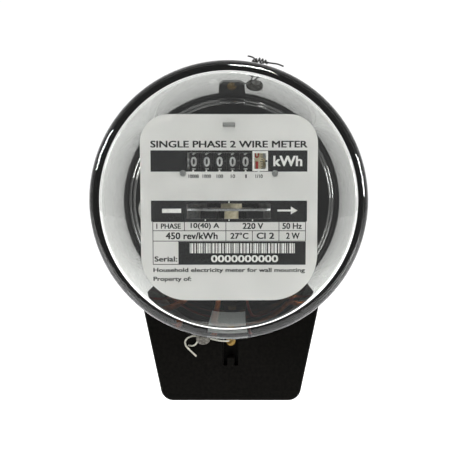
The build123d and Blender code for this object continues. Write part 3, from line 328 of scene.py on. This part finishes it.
lead = new_finish("crimped_lead", "5a5854", 0.55, 0.75)
mottle(lead, "46443f", "77746e", 1.1)
roughen(lead, 0.6, 0.12, 0.45, 0.68)

dark_lead = new_finish("tarnished_lead", "2e2d2b", 0.6, 0.55)
mottle(dark_lead, "1f1f1d", "45433f", 1.0)
roughen(dark_lead, 0.6, 0.12, 0.5, 0.7)

pale_wire = new_finish("galvanised_twisted_wire", "9d9c90", 0.42, 0.6)
mottle(pale_wire, "827f74", "bab9ae", 0.5)
roughen(pale_wire, 0.25, 0.05)

dark_wire = new_finish("oxidised_twisted_wire", "1d1d1c", 0.55, 0.4)
mottle(dark_wire, "131313", "2d2c2a", 0.5)
roughen(dark_wire, 0.25, 0.05)
print("materials after the metals:", len(bpy.data.materials))

# %% [markdown]
# Plate, inks, paper, glass and floor. The plate is stoved white enamel on sheet, so it is
# smooth with a faint orange peel. Silk-screen ink is matt and stands a few hundredths of a
# millimetre proud. The cover is pressed soda-lime glass, which is very faintly green.

# %% Plate, inks, paper, glass and floor
plate_enamel = new_finish("stoved_white_enamel", "e0dfdd", 0.42, Specular_IOR_Level=0.3)
mottle(plate_enamel, "dddcda", "e3e2e0", 14.0, detail=1.0)
roughen(plate_enamel, 0.8, 0.01, 0.34, 0.44)

black_ink = new_finish("screen_printed_black_ink", "1b1c1e", 0.6, Specular_IOR_Level=0.12)
mottle(black_ink, "151516", "232425", 1.4)
white_ink = new_finish("screen_printed_white_ink", "e9e9e6", 0.55)
mottle(white_ink, "e0e0dd", "efefec", 1.4)
grey_ink = new_finish("printed_pale_figures", "c3c5c4", 0.5)
mottle(grey_ink, "b4b6b5", "cfd1d0", 0.9)
red_ink = new_finish("printed_red_figures", "b3241d", 0.5)
mottle(red_ink, "a31d18", "c22e25", 0.9)

label_paper = new_finish("coated_label_paper", "cfd3d2", 0.7)
mottle(label_paper, "c3c8c7", "d8dbda", 0.9)
roughen(label_paper, 0.35, 0.03)

clear_glass = new_finish("pressed_soda_lime_glass", "fdfefc", 0.0, Transmission_Weight=1.0, IOR=1.5)

pale_floor = new_finish("pale_studio_floor", "f0f0f0", 0.9, Emission_Strength=0.52)
pale_floor.node_tree.nodes["Principled BSDF"].inputs["Emission Color"].default_value = (1, 1, 1, 1)
floor.data.materials.append(pale_floor)
print("materials in all:", len(bpy.data.materials))

# %% [markdown]
# Each carried-over solid takes its finish by the record's material slot, and a few by name.
# The solids' meshes are left exactly as they are.

# %% Dress the solids
FINISH_OF_SLOT = {
    "black_bakelite": phenolic, "clear_glass": clear_glass, "brass": brass, "zinc_steel": zinc,
    "ground_steel": ground_steel, "gasket_felt": rubber, "cast_alloy": cast_alloy,
    "disc_aluminium": rolled_disc, "register_sheet": pressed_sheet,
    "silicon_steel": laminated_steel, "nylon_cream": cream_nylon, "copper_wire": copper_winding,
    "red_wire": red_insulation, "bearing_brass": brass, "gear_plastic": acetal,
    "drum_black": drum_black, "drum_ivory": drum_ivory, "plate_white": plate_enamel,
    "seal_lead": lead, "seal_wire_dark": dark_wire, "seal_wire_pale": pale_wire,
    "sticker_paper": label_paper,
}
FINISH_OF_NODE = {"current_leads": copper_bar, "brake_magnet": magnet_alloy, "cover_seal": dark_lead}
for entry in frame["record"]["subparts"]:
    solid = bpy.data.objects[entry["node"]]
    finish = FINISH_OF_NODE.get(entry["node"], FINISH_OF_SLOT[entry["material_slot"]])
    solid.data.materials.clear()
    solid.data.materials.append(finish)
print("finishes used:", len(FINISH_OF_SLOT) + len(FINISH_OF_NODE))

# %% [markdown]
# Every piece below is shaped with the operators that a hand would use. These helpers pick
# one object, put its place into its mesh, apply a modifier, join pieces, and give a finished
# piece its name, finish and body. The last one spins a drawn profile into a round piece: the
# profile is a chain of edges extruded point by point, with its corners bevelled.

# %% Helpers for modelling
SAME_SPOT = 1e-6


def only(thing):
    """Make one object the only selected and active one."""
    bpy.ops.object.select_all(action="DESELECT")
    thing.select_set(True)
    bpy.context.view_layer.objects.active = thing


def bake_place(thing):
    """Move the object's place into its mesh, so that the object sits at the origin."""
    only(thing)
    bpy.ops.object.transform_apply(location=True, rotation=True, scale=True)


def finish_piece(thing, name, finish, body, replaced=(), smooth=None):
    """Name a piece, give it its finish, and let it ride on its body."""
    thing.name = name
    thing.data.name = name
    if finish is not None:
        thing.data.materials.clear()
        thing.data.materials.append(finish)
    if smooth is not None:
        only(thing)
        bpy.ops.object.shade_smooth_by_angle(angle=radians(smooth))
    if replaced:
        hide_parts(*replaced)
    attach(thing, body)
    print(name, "has", len(thing.data.polygons), "faces")
    return thing


def join(pieces):
    """Join pieces into the first one."""
    bpy.ops.object.select_all(action="DESELECT")
    for piece in pieces:
        piece.select_set(True)
    bpy.context.view_layer.objects.active = pieces[0]
    bpy.ops.object.join()
    return bpy.context.object


def apply_modifier(thing, kind, **settings):
    """Add a modifier with its settings and apply it."""
    only(thing)
    modifier = thing.modifiers.new(kind.lower(), kind)
    for name, value in settings.items():
        setattr(modifier, name, value)
    bpy.ops.object.modifier_apply(modifier=modifier.name)


def turned(profile, rounding, steps):
    """Spin a profile of (radius, depth) points, in mm, round the meter's axis.

    rounding maps a profile point's number to (radius in mm, segments)."""
    bpy.ops.object.select_all(action="DESELECT")
    bpy.ops.mesh.primitive_plane_add(size=MM, location=(0, 0, 0))
    piece = bpy.context.object
    bpy.ops.object.mode_set(mode="EDIT")
    bpy.ops.mesh.select_all(action="SELECT")
    bpy.ops.mesh.merge(type="CENTER")
    start = Vector((profile[0][0], -profile[0][1], 0)) * MM
    bpy.ops.transform.translate(value=start)
    for (x0, y0), (x1, y1) in zip(profile, profile[1:]):
        step = Vector((x1 - x0, y0 - y1, 0)) * MM
        bpy.ops.mesh.extrude_region_move(TRANSFORM_OT_translate={"value": step})
    corners = [(profile[number], size, segments) for number, (size, segments) in rounding.items()]
    for (x, y), size, segments in corners:
        bpy.ops.mesh.select_all(action="DESELECT")
        shape = bmesh.from_edit_mesh(piece.data)
        spot = Vector((x, -y, 0)) * MM
        for vertex in shape.verts:
            vertex.select = (vertex.co - spot).length < SAME_SPOT
        shape.select_flush_mode()
        bmesh.update_edit_mesh(piece.data)
        bpy.ops.mesh.bevel(offset=size * MM, segments=segments, affect="VERTICES")
    bpy.ops.mesh.select_all(action="SELECT")
    bpy.ops.mesh.spin(steps=steps, angle=2 * pi, center=(0, 0, 0), axis=(0, 1, 0))
    bpy.ops.mesh.select_all(action="SELECT")
    bpy.ops.mesh.remove_doubles(threshold=2 * SAME_SPOT)
    bpy.ops.mesh.normals_make_consistent(inside=False)
    bpy.ops.object.mode_set(mode="OBJECT")
    return piece


# %% [markdown]
# The real cup is pressed in a round mould, so it is the same all the way round its axis, and
# a spun profile gives its thick wall, rounded corners, slightly domed front and flange at
# once. Glass bends light at both faces of its wall, so the mesh is one closed body with a wall.

# %% Glass cup
glass_low, glass_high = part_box("glass_cover")
GLASS_RADIUS = 64.5
GLASS_WALL = 4.8
GLASS_FACE = 3.5
GLASS_CORNER = 5.0
GLASS_INNER_CORNER = 2.0
GLASS_DOME = 1.0
FLANGE_RADIUS = glass_high.x / MM
FLANGE_THICKNESS = 3.5
DOME_STEPS = 5
FLANGE_BACK = -glass_high.y / MM
GLASS_FRONT = -glass_low.y / MM
glass_inside = GLASS_RADIUS - GLASS_WALL


def dome(radius, height, steps):
    """Points of a shallow dome from its middle out to its edge, as (radius, depth)."""
    shares = [step / steps for step in range(steps + 1)]
    return [(radius * share, height - GLASS_DOME * share ** 2) for share in shares]


cup_profile = dome(GLASS_RADIUS, GLASS_FRONT, DOME_STEPS)
cup_profile += [(GLASS_RADIUS, FLANGE_BACK + FLANGE_THICKNESS),
                (FLANGE_RADIUS, FLANGE_BACK + FLANGE_THICKNESS), (FLANGE_RADIUS, FLANGE_BACK),
                (glass_inside, FLANGE_BACK)]
cup_profile += dome(glass_inside, GLASS_FRONT - GLASS_FACE, DOME_STEPS)[::-1]
flange_root = DOME_STEPS + 1
cup_rounding = {DOME_STEPS: (GLASS_CORNER, 14), flange_root: (0.8, 3), flange_root + 1: (0.7, 4),
                flange_root + 2: (0.7, 4), flange_root + 3: (0.5, 3),
                flange_root + 4: (GLASS_INNER_CORNER, 8)}
glass_cup = turned(cup_profile, cup_rounding, 160)
print("glass cup stands", round(GLASS_FRONT, 1), "mm from the wall")

# %% [markdown]
# Two flat lugs stand out of the flange, each with a hole for its cover screw. A cube is
# stretched to each lug's size and joined to the cup with a boolean, so that the glass is
# one body with no wall left inside it, and a cylinder cuts the hole.

# %% Glass lugs
LUG_WIDTH = 17.0
LUG_HOLE = 1.9
LUG_ROOT = 1.5
EAR_CORNER = 4.0


def lug(reach, side, screw_height):
    """A rounded lug on the flange, with a screw hole."""
    root = glass_inside + LUG_ROOT
    bpy.ops.object.select_all(action="DESELECT")
    middle_depth = FLANGE_BACK + FLANGE_THICKNESS / 2
    bpy.ops.mesh.primitive_cube_add(
        size=MM, location=(0, -middle_depth * MM, side * (root + reach) / 2 * MM))
    block = bpy.context.object
    block.scale = (LUG_WIDTH, FLANGE_THICKNESS, reach - root)
    bake_place(block)
    bpy.ops.object.mode_set(mode="EDIT")
    bpy.ops.mesh.select_all(action="DESELECT")
    shape = bmesh.from_edit_mesh(block.data)
    for edge in shape.edges:
        middle = (edge.verts[0].co + edge.verts[1].co) / 2
        along = abs(edge.verts[0].co.y - edge.verts[1].co.y) > MM
        edge.select = along and abs(middle.z) > (reach - 1) * MM
    bmesh.update_edit_mesh(block.data)
    bpy.ops.mesh.bevel(offset=EAR_CORNER * MM, segments=8)
    bpy.ops.object.mode_set(mode="OBJECT")
    bpy.ops.object.select_all(action="DESELECT")
    bpy.ops.mesh.primitive_cylinder_add(
        vertices=32, radius=LUG_HOLE * MM, depth=4 * FLANGE_THICKNESS * MM,
        location=(0, -FLANGE_BACK * MM, side * screw_height * MM), rotation=(pi / 2, 0, 0))
    drill = bpy.context.object
    bake_place(drill)
    apply_modifier(block, "BOOLEAN", operation="DIFFERENCE", object=drill, solver="EXACT")
    bpy.data.objects.remove(drill)
    return block


screw_low, screw_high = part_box("cover_screws")
HEAD_RADIUS = 2.4
top_screw_height = screw_high.z / MM - HEAD_RADIUS
bottom_screw_height = -screw_low.z / MM - HEAD_RADIUS
for reach, side, height in ((glass_high.z / MM, 1, top_screw_height),
                            (-glass_low.z / MM, -1, bottom_screw_height)):
    ear = lug(reach, side, height)
    apply_modifier(glass_cup, "BOOLEAN", operation="UNION", object=ear, solver="EXACT")
    bpy.data.objects.remove(ear)
finish_piece(glass_cup, "glass_cup", clear_glass, "glass", ["glass_cover"], 28)

# %% [markdown]
# The plate is silk-screened in two passes, black first and white over it. Each mark is a slab
# a few hundredths of a millimetre thick, so it is made from a cube stretched to its box.
# The black bands run round the windows in the plate, as the real screen does.

# %% Printed slabs
PLATE_FACE = 100.8
BLACK_LAYER = (PLATE_FACE - 0.03, PLATE_FACE + 0.04)
WHITE_LAYER = (PLATE_FACE - 0.03, PLATE_FACE + 0.09)


def slab(west, east, low, high, layer):
    """A thin printed box on the plate between two X and two Z values, in mm."""
    bpy.ops.object.select_all(action="DESELECT")
    bpy.ops.mesh.primitive_cube_add(
        size=MM, location=((west + east) / 2 * MM, -sum(layer) / 2 * MM, (low + high) / 2 * MM))
    box = bpy.context.object
    box.scale = (east - west, layer[1] - layer[0], high - low)
    bake_place(box)
    return box


def band_with_windows(west, east, low, high, windows, layer):
    """A printed band, cut up so that it leaves each window free."""
    pieces = []
    left = west
    for window_west, window_east, window_low, window_high in windows:
        pieces.append(slab(left, window_west, low, high, layer))
        pieces.append(slab(window_west, window_east, low, window_low, layer))
        pieces.append(slab(window_west, window_east, window_high, high, layer))
        left = window_east
    pieces.append(slab(left, east, low, high, layer))
    return pieces


def frame_lines(west, east, low, high, width, layer):
    """Four thin lines round a box."""
    return [slab(west, east, high - width, high, layer), slab(west, east, low, low + width, layer),
            slab(west, west + width, low + width, high - width, layer),
            slab(east - width, east, low + width, high - width, layer)]


DRUM_WINDOW = (-19.4, 10.6, 15.2, 23.0)
TENTHS_WINDOW = (12.2, 17.6, 15.2, 23.0)
DISC_WINDOW = (-19.8, 19.5, -8.0, -0.8)
BAND_WEST, BAND_EAST = -36.8, 36.8
ROWS_WEST, ROWS_EAST = -36.2, 36.3
ROW_TOP, ROW_MIDDLE, ROW_BOTTOM = -9.2, -13.8, -18.7
PANEL_BOTTOM = -29.8
LINE = 0.32

black_slabs = band_with_windows(
    BAND_WEST, BAND_EAST, 14.2, 24.1, [DRUM_WINDOW, TENTHS_WINDOW], BLACK_LAYER)
black_slabs += band_with_windows(BAND_WEST, BAND_EAST, -9.2, 0.6, [DISC_WINDOW], BLACK_LAYER)
black_slabs += frame_lines(ROWS_WEST, ROWS_EAST, ROW_MIDDLE, ROW_TOP, LINE, BLACK_LAYER)
black_slabs += frame_lines(ROWS_WEST, ROWS_EAST, ROW_BOTTOM, ROW_MIDDLE + LINE, LINE, BLACK_LAYER)
for x in (-21.1, -1.5, 23.6):
    black_slabs.append(slab(x - LINE / 2, x + LINE / 2, -13.5, -9.5, BLACK_LAYER))
for x in (-1.5, 11.0, 23.6):
    black_slabs.append(slab(x - LINE / 2, x + LINE / 2, -18.4, -13.8, BLACK_LAYER))
black_slabs += frame_lines(ROWS_WEST, -23.7, PANEL_BOTTOM, ROW_BOTTOM + LINE, LINE, BLACK_LAYER)
black_slabs.append(slab(-23.9, ROWS_EAST, PANEL_BOTTOM, -18.8, BLACK_LAYER))
black_slabs.append(slab(17.0, 18.0, 18.7, 19.5, (PLATE_FACE, PLATE_FACE + 0.12)))
finish_piece(join(black_slabs), "black_print", black_ink, "case")

# %% [markdown]
# White marks go over the black: the frame round the tenths window, the dash and the arrow
# beside the disc window, the ticks, a mark below each drum, and a stepped bar pattern.

# %% White marks
FIRST_DRUM = -16.8
DRUM_PITCH = 6.15
DRUM_CENTRES = [FIRST_DRUM + DRUM_PITCH * place for place in range(6)]


def flat_shape(corners, radius, centre, turn, layer):
    """A thin regular shape on the plate: three corners make a triangle, many make a dot."""
    bpy.ops.object.select_all(action="DESELECT")
    bpy.ops.mesh.primitive_cylinder_add(
        vertices=corners, radius=radius * MM, depth=(layer[1] - layer[0]) * MM,
        location=(centre[0] * MM, -sum(layer) / 2 * MM, centre[1] * MM), rotation=(pi / 2, turn, 0))
    shape = bpy.context.object
    bake_place(shape)
    return shape


white_slabs = frame_lines(11.0, 18.3, 14.5, 23.8, 1.0, WHITE_LAYER)
white_slabs.append(slab(-31.6, -22.6, -5.2, -3.2, WHITE_LAYER))
white_slabs.append(slab(22.8, 29.4, -4.5, -3.6, WHITE_LAYER))
white_slabs.append(flat_shape(3, 2.1, (30.2, -4.05), pi / 2, WHITE_LAYER))
for x, z, height in ((0.0, -0.1, 0.8), (-11.2, -8.6, 0.8), (0.0, -8.6, 0.8), (11.1, -8.6, 0.8)):
    white_slabs.append(slab(x - 0.25, x + 0.25, z - height / 2, z + height / 2, WHITE_LAYER))
for x in DRUM_CENTRES:
    white_slabs.append(flat_shape(3, 0.62, (x, 14.55), 0, WHITE_LAYER))
white_slabs.append(flat_shape(16, 0.5, (11.8, 14.9), 0, (PLATE_FACE, PLATE_FACE + 0.14)))
BAR_STEP = 0.62
bar_edge = -18.6
bar = 0
while bar_edge < 31.2:
    thick = BAR_STEP * (0.55 + 0.5 * ((bar * 5) % 3))
    white_slabs.append(slab(bar_edge, bar_edge + thick, -24.3, -19.6, WHITE_LAYER))
    bar_edge += thick + BAR_STEP * (0.5 + 0.45 * ((bar * 7) % 4 > 1))
    bar += 1
finish_piece(join(white_slabs), "white_print", white_ink, "case")
print("bars printed:", bar)

# %% [markdown]
# Lettering is made from text objects, turned into meshes and fitted to the box that the
# printer's layout gives each line. Everything here is generic: units, ratings and zeros.
# The letters are made bolder by joining shifted copies of each line. Each copy stands a little
# prouder than the one before, because faces that lie in one plane would shade as black.

# %% Lettering
BOLD_STEP = 0.055
BOLD_RISE = 0.035
BOLD_PROUD = 0.06


def copy_of(piece):
    """A copy with its own mesh."""
    only(piece)
    bpy.ops.object.duplicate()
    return bpy.context.object


def letters(text, thickness):
    """Flat lettering as a mesh, upright in XZ and facing the reader."""
    bpy.ops.object.select_all(action="DESELECT")
    bpy.ops.object.text_add(location=(0, 0, 0))
    line = bpy.context.object
    line.data.body = text
    line.data.extrude = 0.5
    line.data.resolution_u = 3
    line.rotation_euler = (pi / 2, 0, 0)
    bpy.ops.object.convert(target="MESH")
    line = bpy.context.object
    bake_place(line)
    strokes = [line]
    for sideways, upwards in ((1, 0), (0, 1), (1, 1)):
        stroke = copy_of(line)
        proud = -BOLD_PROUD * len(strokes)
        stroke.data.transform(
            Matrix.Translation((sideways * BOLD_STEP, proud, upwards * BOLD_RISE)))
        strokes.append(stroke)
    line = join(strokes)
    corners = [vertex.co for vertex in line.data.vertices]
    low = Vector([min(c[i] for c in corners) for i in range(3)])
    high = Vector([max(c[i] for c in corners) for i in range(3)])
    line.data.transform(Matrix.Translation(-(low + high) / 2))
    span = high - low
    line.data.transform(Matrix.Diagonal((1 / span.x, thickness * MM / span.y, 1 / span.z, 1)))
    return line


def printed_line(text, west, east, low, high, layer):
    """Lettering stretched to fill a box on the plate, in mm."""
    line = letters(text, layer[1] - layer[0])
    size = Matrix.Diagonal(((east - west) * MM, 1, (high - low) * MM, 1))
    spot = Matrix.Translation(Vector(((west + east) / 2, -sum(layer) / 2, (low + high) / 2)) * MM)
    line.data.transform(spot @ size)
    return line


black_lines = [
    ("SINGLE PHASE 2 WIRE METER", -36.8, 36.8, 25.4, 28.6),
    ("1 PHASE", -34.4, -22.8, -12.7, -10.2), ("10(40) A", -18.2, -4.6, -13.1, -9.9),
    ("220 V", 6.4, 16.2, -12.8, -9.9), ("50 Hz", 25.2, 34.4, -12.8, -9.9),
    ("450 rev/kWh", -30.0, -5.4, -17.7, -14.4),
    ("27\u00b0C", 0.6, 9.2, -17.5, -14.5), ("Cl 2", 13.0, 21.4, -17.5, -14.5),
    ("2 W", 27.0, 33.4, -17.5, -14.5), ("Serial:", -35.4, -24.6, -28.3, -25.8),
    ("Household electricity meter for wall mounting", -36.0, 36.0, -33.9, -31.3),
    ("Property of:", -36.0, -18.0, -38.2, -35.5)]
label_texts = [("10000", 4.9), ("1000", 4.0), ("100", 3.1), ("10", 2.1), ("1", 0.7), ("1/10", 3.4)]
for (text, width), x in zip(label_texts, DRUM_CENTRES):
    black_lines.append((text, x - width / 2 + 0.2, x + width / 2 + 0.2, 11.2, 12.9))
lettering = [printed_line(*line, BLACK_LAYER) for line in black_lines]
finish_piece(join(lettering), "black_lettering", black_ink, "case")
white_lines = [("kWh", 20.8, 34.4, 16.7, 21.6), ("0000000000", -8.6, 23.3, -28.6, -25.2)]
lettering = [printed_line(*line, WHITE_LAYER) for line in white_lines]
finish_piece(join(lettering), "white_lettering", white_ink, "case")

# %% [markdown]
# Each drum carries ten figures round its rim. A figure is cut across by a row of planes, so
# that it can bend, and every point is then laid on the cylinder. One ring of figures is made
# once and copied to each black drum, turned to show a nought, and rides on that drum.

# %% Drum figures
DRUM_DEPTH = 89.0
DRUM_LEVEL = 19.1
DRUM_RADIUS = 8.75
BLACK_DRUM_FIGURE = (2.9, 4.7)
TENTHS_FIGURE = (2.2, 3.9)
FIGURE_STEP = 2 * pi / 10
FIGURE_CUTS = 8


def sliced(piece, height, cuts):
    """Cut a flat piece into level strips, so that it can be bent round a drum."""
    only(piece)
    bpy.ops.object.mode_set(mode="EDIT")
    for cut in range(1, cuts):
        level = (cut / cuts - 0.5) * height
        bpy.ops.mesh.select_all(action="SELECT")
        bpy.ops.mesh.bisect(plane_co=(0, 0, level), plane_no=(0, 0, 1))
    bpy.ops.object.mode_set(mode="OBJECT")


def wrapped(piece, angle):
    """Lay a flat piece on the drum's rim, with its middle at an angle above the front."""
    for vertex in piece.data.vertices:
        x, y, z = vertex.co
        radius = DRUM_RADIUS * MM - y
        turn = angle + z / (DRUM_RADIUS * MM)
        vertex.co = (x, -DRUM_DEPTH * MM - radius * cos(turn), DRUM_LEVEL * MM + radius * sin(turn))
    piece.data.update()


def figure_ring(turn, shift, size):
    """Ten figures round a drum that is centred on X = 0."""
    width, height = size
    figures = []
    for number in range(10):
        figure = letters(str(number), 0.05)
        wide = width * (0.6 if number == 1 else 1.0)
        figure.data.transform(Matrix.Translation((shift * MM, 0, 0))
                              @ Matrix.Diagonal((wide * MM, 1, height * MM, 1)))
        sliced(figure, height * MM, FIGURE_CUTS)
        wrapped(figure, turn - number * FIGURE_STEP)
        figures.append(figure)
    return join(figures)


DRUMS = ["drum_10000", "drum_1000", "drum_100", "drum_10", "drum_1"]
first_ring = figure_ring(0, 0, BLACK_DRUM_FIGURE)
rings = [first_ring] + [copy_of(first_ring) for drum in DRUMS[1:]]
for ring, drum, x in zip(rings, DRUMS, DRUM_CENTRES):
    ring.data.transform(Matrix.Translation((x * MM, 0, 0)))
    finish_piece(ring, "figures_" + drum, grey_ink, drum + "_body")

# %% [markdown]
# The tenths drum is ivory with red figures, set to the left of its rim, and a scale of short
# black lines on the right, five to a figure with every fifth one longer.

# %% Tenths drum
SCALE_MARKS = 50
LONG_MARK = 1.3
SHORT_MARK = 0.8
SCALE_EAST = DRUM_CENTRES[5] + 2.05

red_ring = figure_ring(FIGURE_STEP - radians(12), -0.75, TENTHS_FIGURE)
red_ring.data.transform(Matrix.Translation((DRUM_CENTRES[5] * MM, 0, 0)))
finish_piece(red_ring, "figures_drum_tenths", red_ink, "drum_tenths_body")

scale_lines = []
for line in range(SCALE_MARKS):
    length = LONG_MARK if line % 5 == 0 else SHORT_MARK
    mark = slab(SCALE_EAST - length, SCALE_EAST, -0.12, 0.12, (-0.02, 0.05))
    wrapped(mark, line * 2 * pi / SCALE_MARKS)
    scale_lines.append(mark)
finish_piece(join(scale_lines), "scale_drum_tenths", black_ink, "drum_tenths_body")

# %% [markdown]
# A paper inspection sticker is glued under the glass. Glue leaves no air between paper and
# glass, so its upper face is set a tenth of a millimetre into the glass: with an air gap the
# thick wall would mirror it away. A grid is laid flat, rolled round the cup and thickened.

# %% Inspection sticker
STICKER_DEPTH_IN_GLASS = 0.1
STICKER_THICKNESS = 0.3
sticker_low, sticker_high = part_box("inspection_sticker")
sticker_radius = GLASS_RADIUS * MM - STICKER_DEPTH_IN_GLASS * MM
bpy.ops.object.select_all(action="DESELECT")
bpy.ops.mesh.primitive_grid_add(x_subdivisions=20, y_subdivisions=12, size=1)
sticker = bpy.context.object
for vertex in sticker.data.vertices:
    across = sticker_low.x + (vertex.co.x + 0.5) * (sticker_high.x - sticker_low.x)
    along = sticker_low.y + (vertex.co.y + 0.5) * (sticker_high.y - sticker_low.y)
    turn = across / sticker_radius
    vertex.co = (sticker_radius * sin(turn), along, -sticker_radius * cos(turn))
only(sticker)
bpy.ops.object.mode_set(mode="EDIT")
bpy.ops.mesh.select_all(action="SELECT")
bpy.ops.mesh.normals_make_consistent(inside=False)
bpy.ops.object.mode_set(mode="OBJECT")
facing = sticker.data.polygons[0].normal.z
apply_modifier(sticker, "SOLIDIFY", thickness=STICKER_THICKNESS * MM, offset=1.0 if facing < 0 else -1.0)
finish_piece(sticker, "glued_sticker", label_paper, "glass", ["inspection_sticker"], 40)

# %% [markdown]
# A lead seal is a small drum squeezed between pliers, so it starts as a cylinder whose rims
# are bevelled and whose faces are subdivided, and each point is then knocked a little off
# its place. It rides on the cover that it closes.

# %% Lead seals
def crimped_seal(node, name, finish, body, seed, spread):
    """A squeezed lead drum that fills the box of its plain solid."""
    low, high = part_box(node)
    centre = (low + high) / 2
    radius = (high.x - low.x) / 2
    thickness = high.y - low.y
    bpy.ops.object.select_all(action="DESELECT")
    bpy.ops.mesh.primitive_cylinder_add(vertices=28, radius=radius * 0.97, depth=thickness * 0.94,
                                        location=centre, rotation=(pi / 2, 0, 0))
    seal = bpy.context.object
    seal.scale.x = spread
    bake_place(seal)
    apply_modifier(seal, "BEVEL", width=thickness * 0.2, segments=3, limit_method="ANGLE")
    apply_modifier(seal, "REMESH", mode="VOXEL", voxel_size=0.3 * MM)
    only(seal)
    bpy.ops.object.mode_set(mode="EDIT")
    bpy.ops.mesh.select_all(action="SELECT")
    bpy.ops.transform.vertex_random(offset=0.14 * MM, seed=seed)
    bpy.ops.mesh.vertices_smooth(factor=0.5, repeat=2)
    bpy.ops.object.mode_set(mode="OBJECT")
    return finish_piece(seal, name, finish, body, [node], 60)


crimped_seal("cover_seal", "crimped_cover_seal", dark_lead, "glass", 3, 1.3)
crimped_seal("terminal_seal", "crimped_terminal_seal", lead, "terminal_lid", 7, 1.1)

# %% [markdown]
# The seal wires are stiff and keep the bends that fingers gave them. Each is a NURBS curve
# through the points of its route, with a round bevel for its thickness. The short clipped
# ends that stick out of a seal are curves too, and go with the wire they belong to.

# %% Seal wires
WIRE_RADIUS = 0.45


def seal_wire(name, points, finish, body, node):
    """A round wire along a route given in mm."""
    line = bpy.data.curves.new(name, "CURVE")
    line.dimensions = "3D"
    route = line.splines.new("NURBS")
    route.points.add(len(points) - 1)
    for point, spot in zip(route.points, points):
        point.co = (*(Vector(spot) * MM), 1)
    route.order_u = 3
    route.use_endpoint_u = True
    line.resolution_u = 8
    line.bevel_depth = WIRE_RADIUS * MM
    line.bevel_resolution = 3
    line.use_fill_caps = True
    wire = bpy.data.objects.new(name, line)
    bpy.context.scene.collection.objects.link(wire)
    line.materials.append(finish)
    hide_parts(node)
    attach(wire, body)
    return wire


def route_length(points, steps=60):
    """Length in mm of the quadratic NURBS that a route makes."""
    spots = [Vector(p) for p in points]
    knots = [spots[0]] + [(a + b) / 2 for a, b in zip(spots[1:-1], spots[2:-1])] + [spots[-1]]
    total = 0.0
    for start, bend, end in zip(knots, spots[1:-1], knots[1:]):
        before = start
        for step in range(1, steps + 1):
            t = step / steps
            here = (1 - t) ** 2 * start + 2 * t * (1 - t) * bend + t ** 2 * end
            total += (here - before).length
            before = here
    return total


cover_route = [(1.6, -33.75, 75.6), (6.6, -33.75, 76.9), (12.6, -33.75, 77.6), (15.4, -33.75, 80.4),
               (18.8, -33.75, 83.2), (23.8, -33.75, 82.2), (27.6, -33.75, 81.9), (30.8, -33.75, 80.4)]
cover_end = [(12.4, -34.95, 77.2), (12.6, -35.25, 79.8), (14.6, -35.05, 82.8), (12.8, -35.35, 85.6),
             (9.4, -34.95, 86.2)]
lid_route = [(-1.0, -71.0, -75.2), (-3.4, -73.2, -74.9), (-7.6, -74.2, -73.9), (-11.6, -74.3, -72.8),
             (-16.2, -74.3, -71.9), (-20.6, -74.4, -71.3), (-24.3, -74.9, -73.4), (-24.2, -75.1, -76.6),
             (-21.4, -74.7, -79.6), (-18.4, -74.3, -82.6)]
lid_end = [(-17.2, -74.3, -73.8), (-18.5, -74.3, -76.2), (-20.6, -73.7, -77.4), (-22.8, -73.5, -76.8)]
cover_wire = seal_wire("cover_wire", cover_route, dark_wire, "glass", "cover_seal_wire")
cover_tail = seal_wire("cover_wire_tail", cover_end, dark_wire, "glass", "cover_seal_wire_end")
lid_wire = seal_wire("terminal_wire", lid_route, pale_wire, "terminal_lid", "terminal_seal_wire")
lid_tail = seal_wire("terminal_wire_tail", lid_end, pale_wire, "terminal_lid", "terminal_seal_wire_end")
print("wire routes:", len(cover_route), "and", len(lid_route), "points")

# %% [markdown]
# Above the seal the two cover wires were twisted together with pliers. The twist is a short
# uneven coil of the same wire, wound by a loop along a line between the two free ends.

# %% Twisted knot
KNOT_START = Vector((12.0, -34.4, 83.2))
KNOT_END = Vector((21.2, -34.4, 82.4))
KNOT_TURNS = 5
POINTS_PER_TURN = 8
KNOT_RADIUS = 1.25

knot_points = []
for step in range(KNOT_TURNS * POINTS_PER_TURN + 1):
    share = step / (KNOT_TURNS * POINTS_PER_TURN)
    turn = 2 * pi * step / POINTS_PER_TURN
    reach = KNOT_RADIUS * (0.55 + 0.45 * sin(pi * share)) * (1 + 0.18 * sin(2.7 * turn))
    middle = KNOT_START.lerp(KNOT_END, share) + Vector((0, 0, 0.9 * sin(pi * share)))
    knot_points.append(middle + Vector((0.3 * sin(turn), reach * cos(turn), reach * sin(turn))))
knot_line = bpy.data.curves.new("cover_wire_knot", "CURVE")
knot_line.dimensions = "3D"
knot_spline = knot_line.splines.new("NURBS")
knot_spline.points.add(len(knot_points) - 1)
for point, spot in zip(knot_spline.points, knot_points):
    point.co = (*(spot * MM), 1)
knot_spline.order_u = 3
knot_spline.use_endpoint_u = True
knot_line.resolution_u = 4
knot_line.bevel_depth = WIRE_RADIUS * MM
knot_line.bevel_resolution = 2
knot_line.use_fill_caps = True
cover_knot = bpy.data.objects.new("cover_wire_knot", knot_line)
bpy.context.scene.collection.objects.link(cover_knot)
knot_line.materials.append(dark_wire)
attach(cover_knot, "glass")
print("knot points:", len(knot_points))

# %% [markdown]
# The real length of each wire is worked out from its route and printed.

cord_sets = ((cover_wire, [cover_tail, cover_knot], cover_route), (lid_wire, [lid_tail], lid_route))
for wire, along_it, route in cord_sets:
    length = route_length(route)
    print(wire.name, "is", round(length, 1), "mm long")

# %% [markdown]
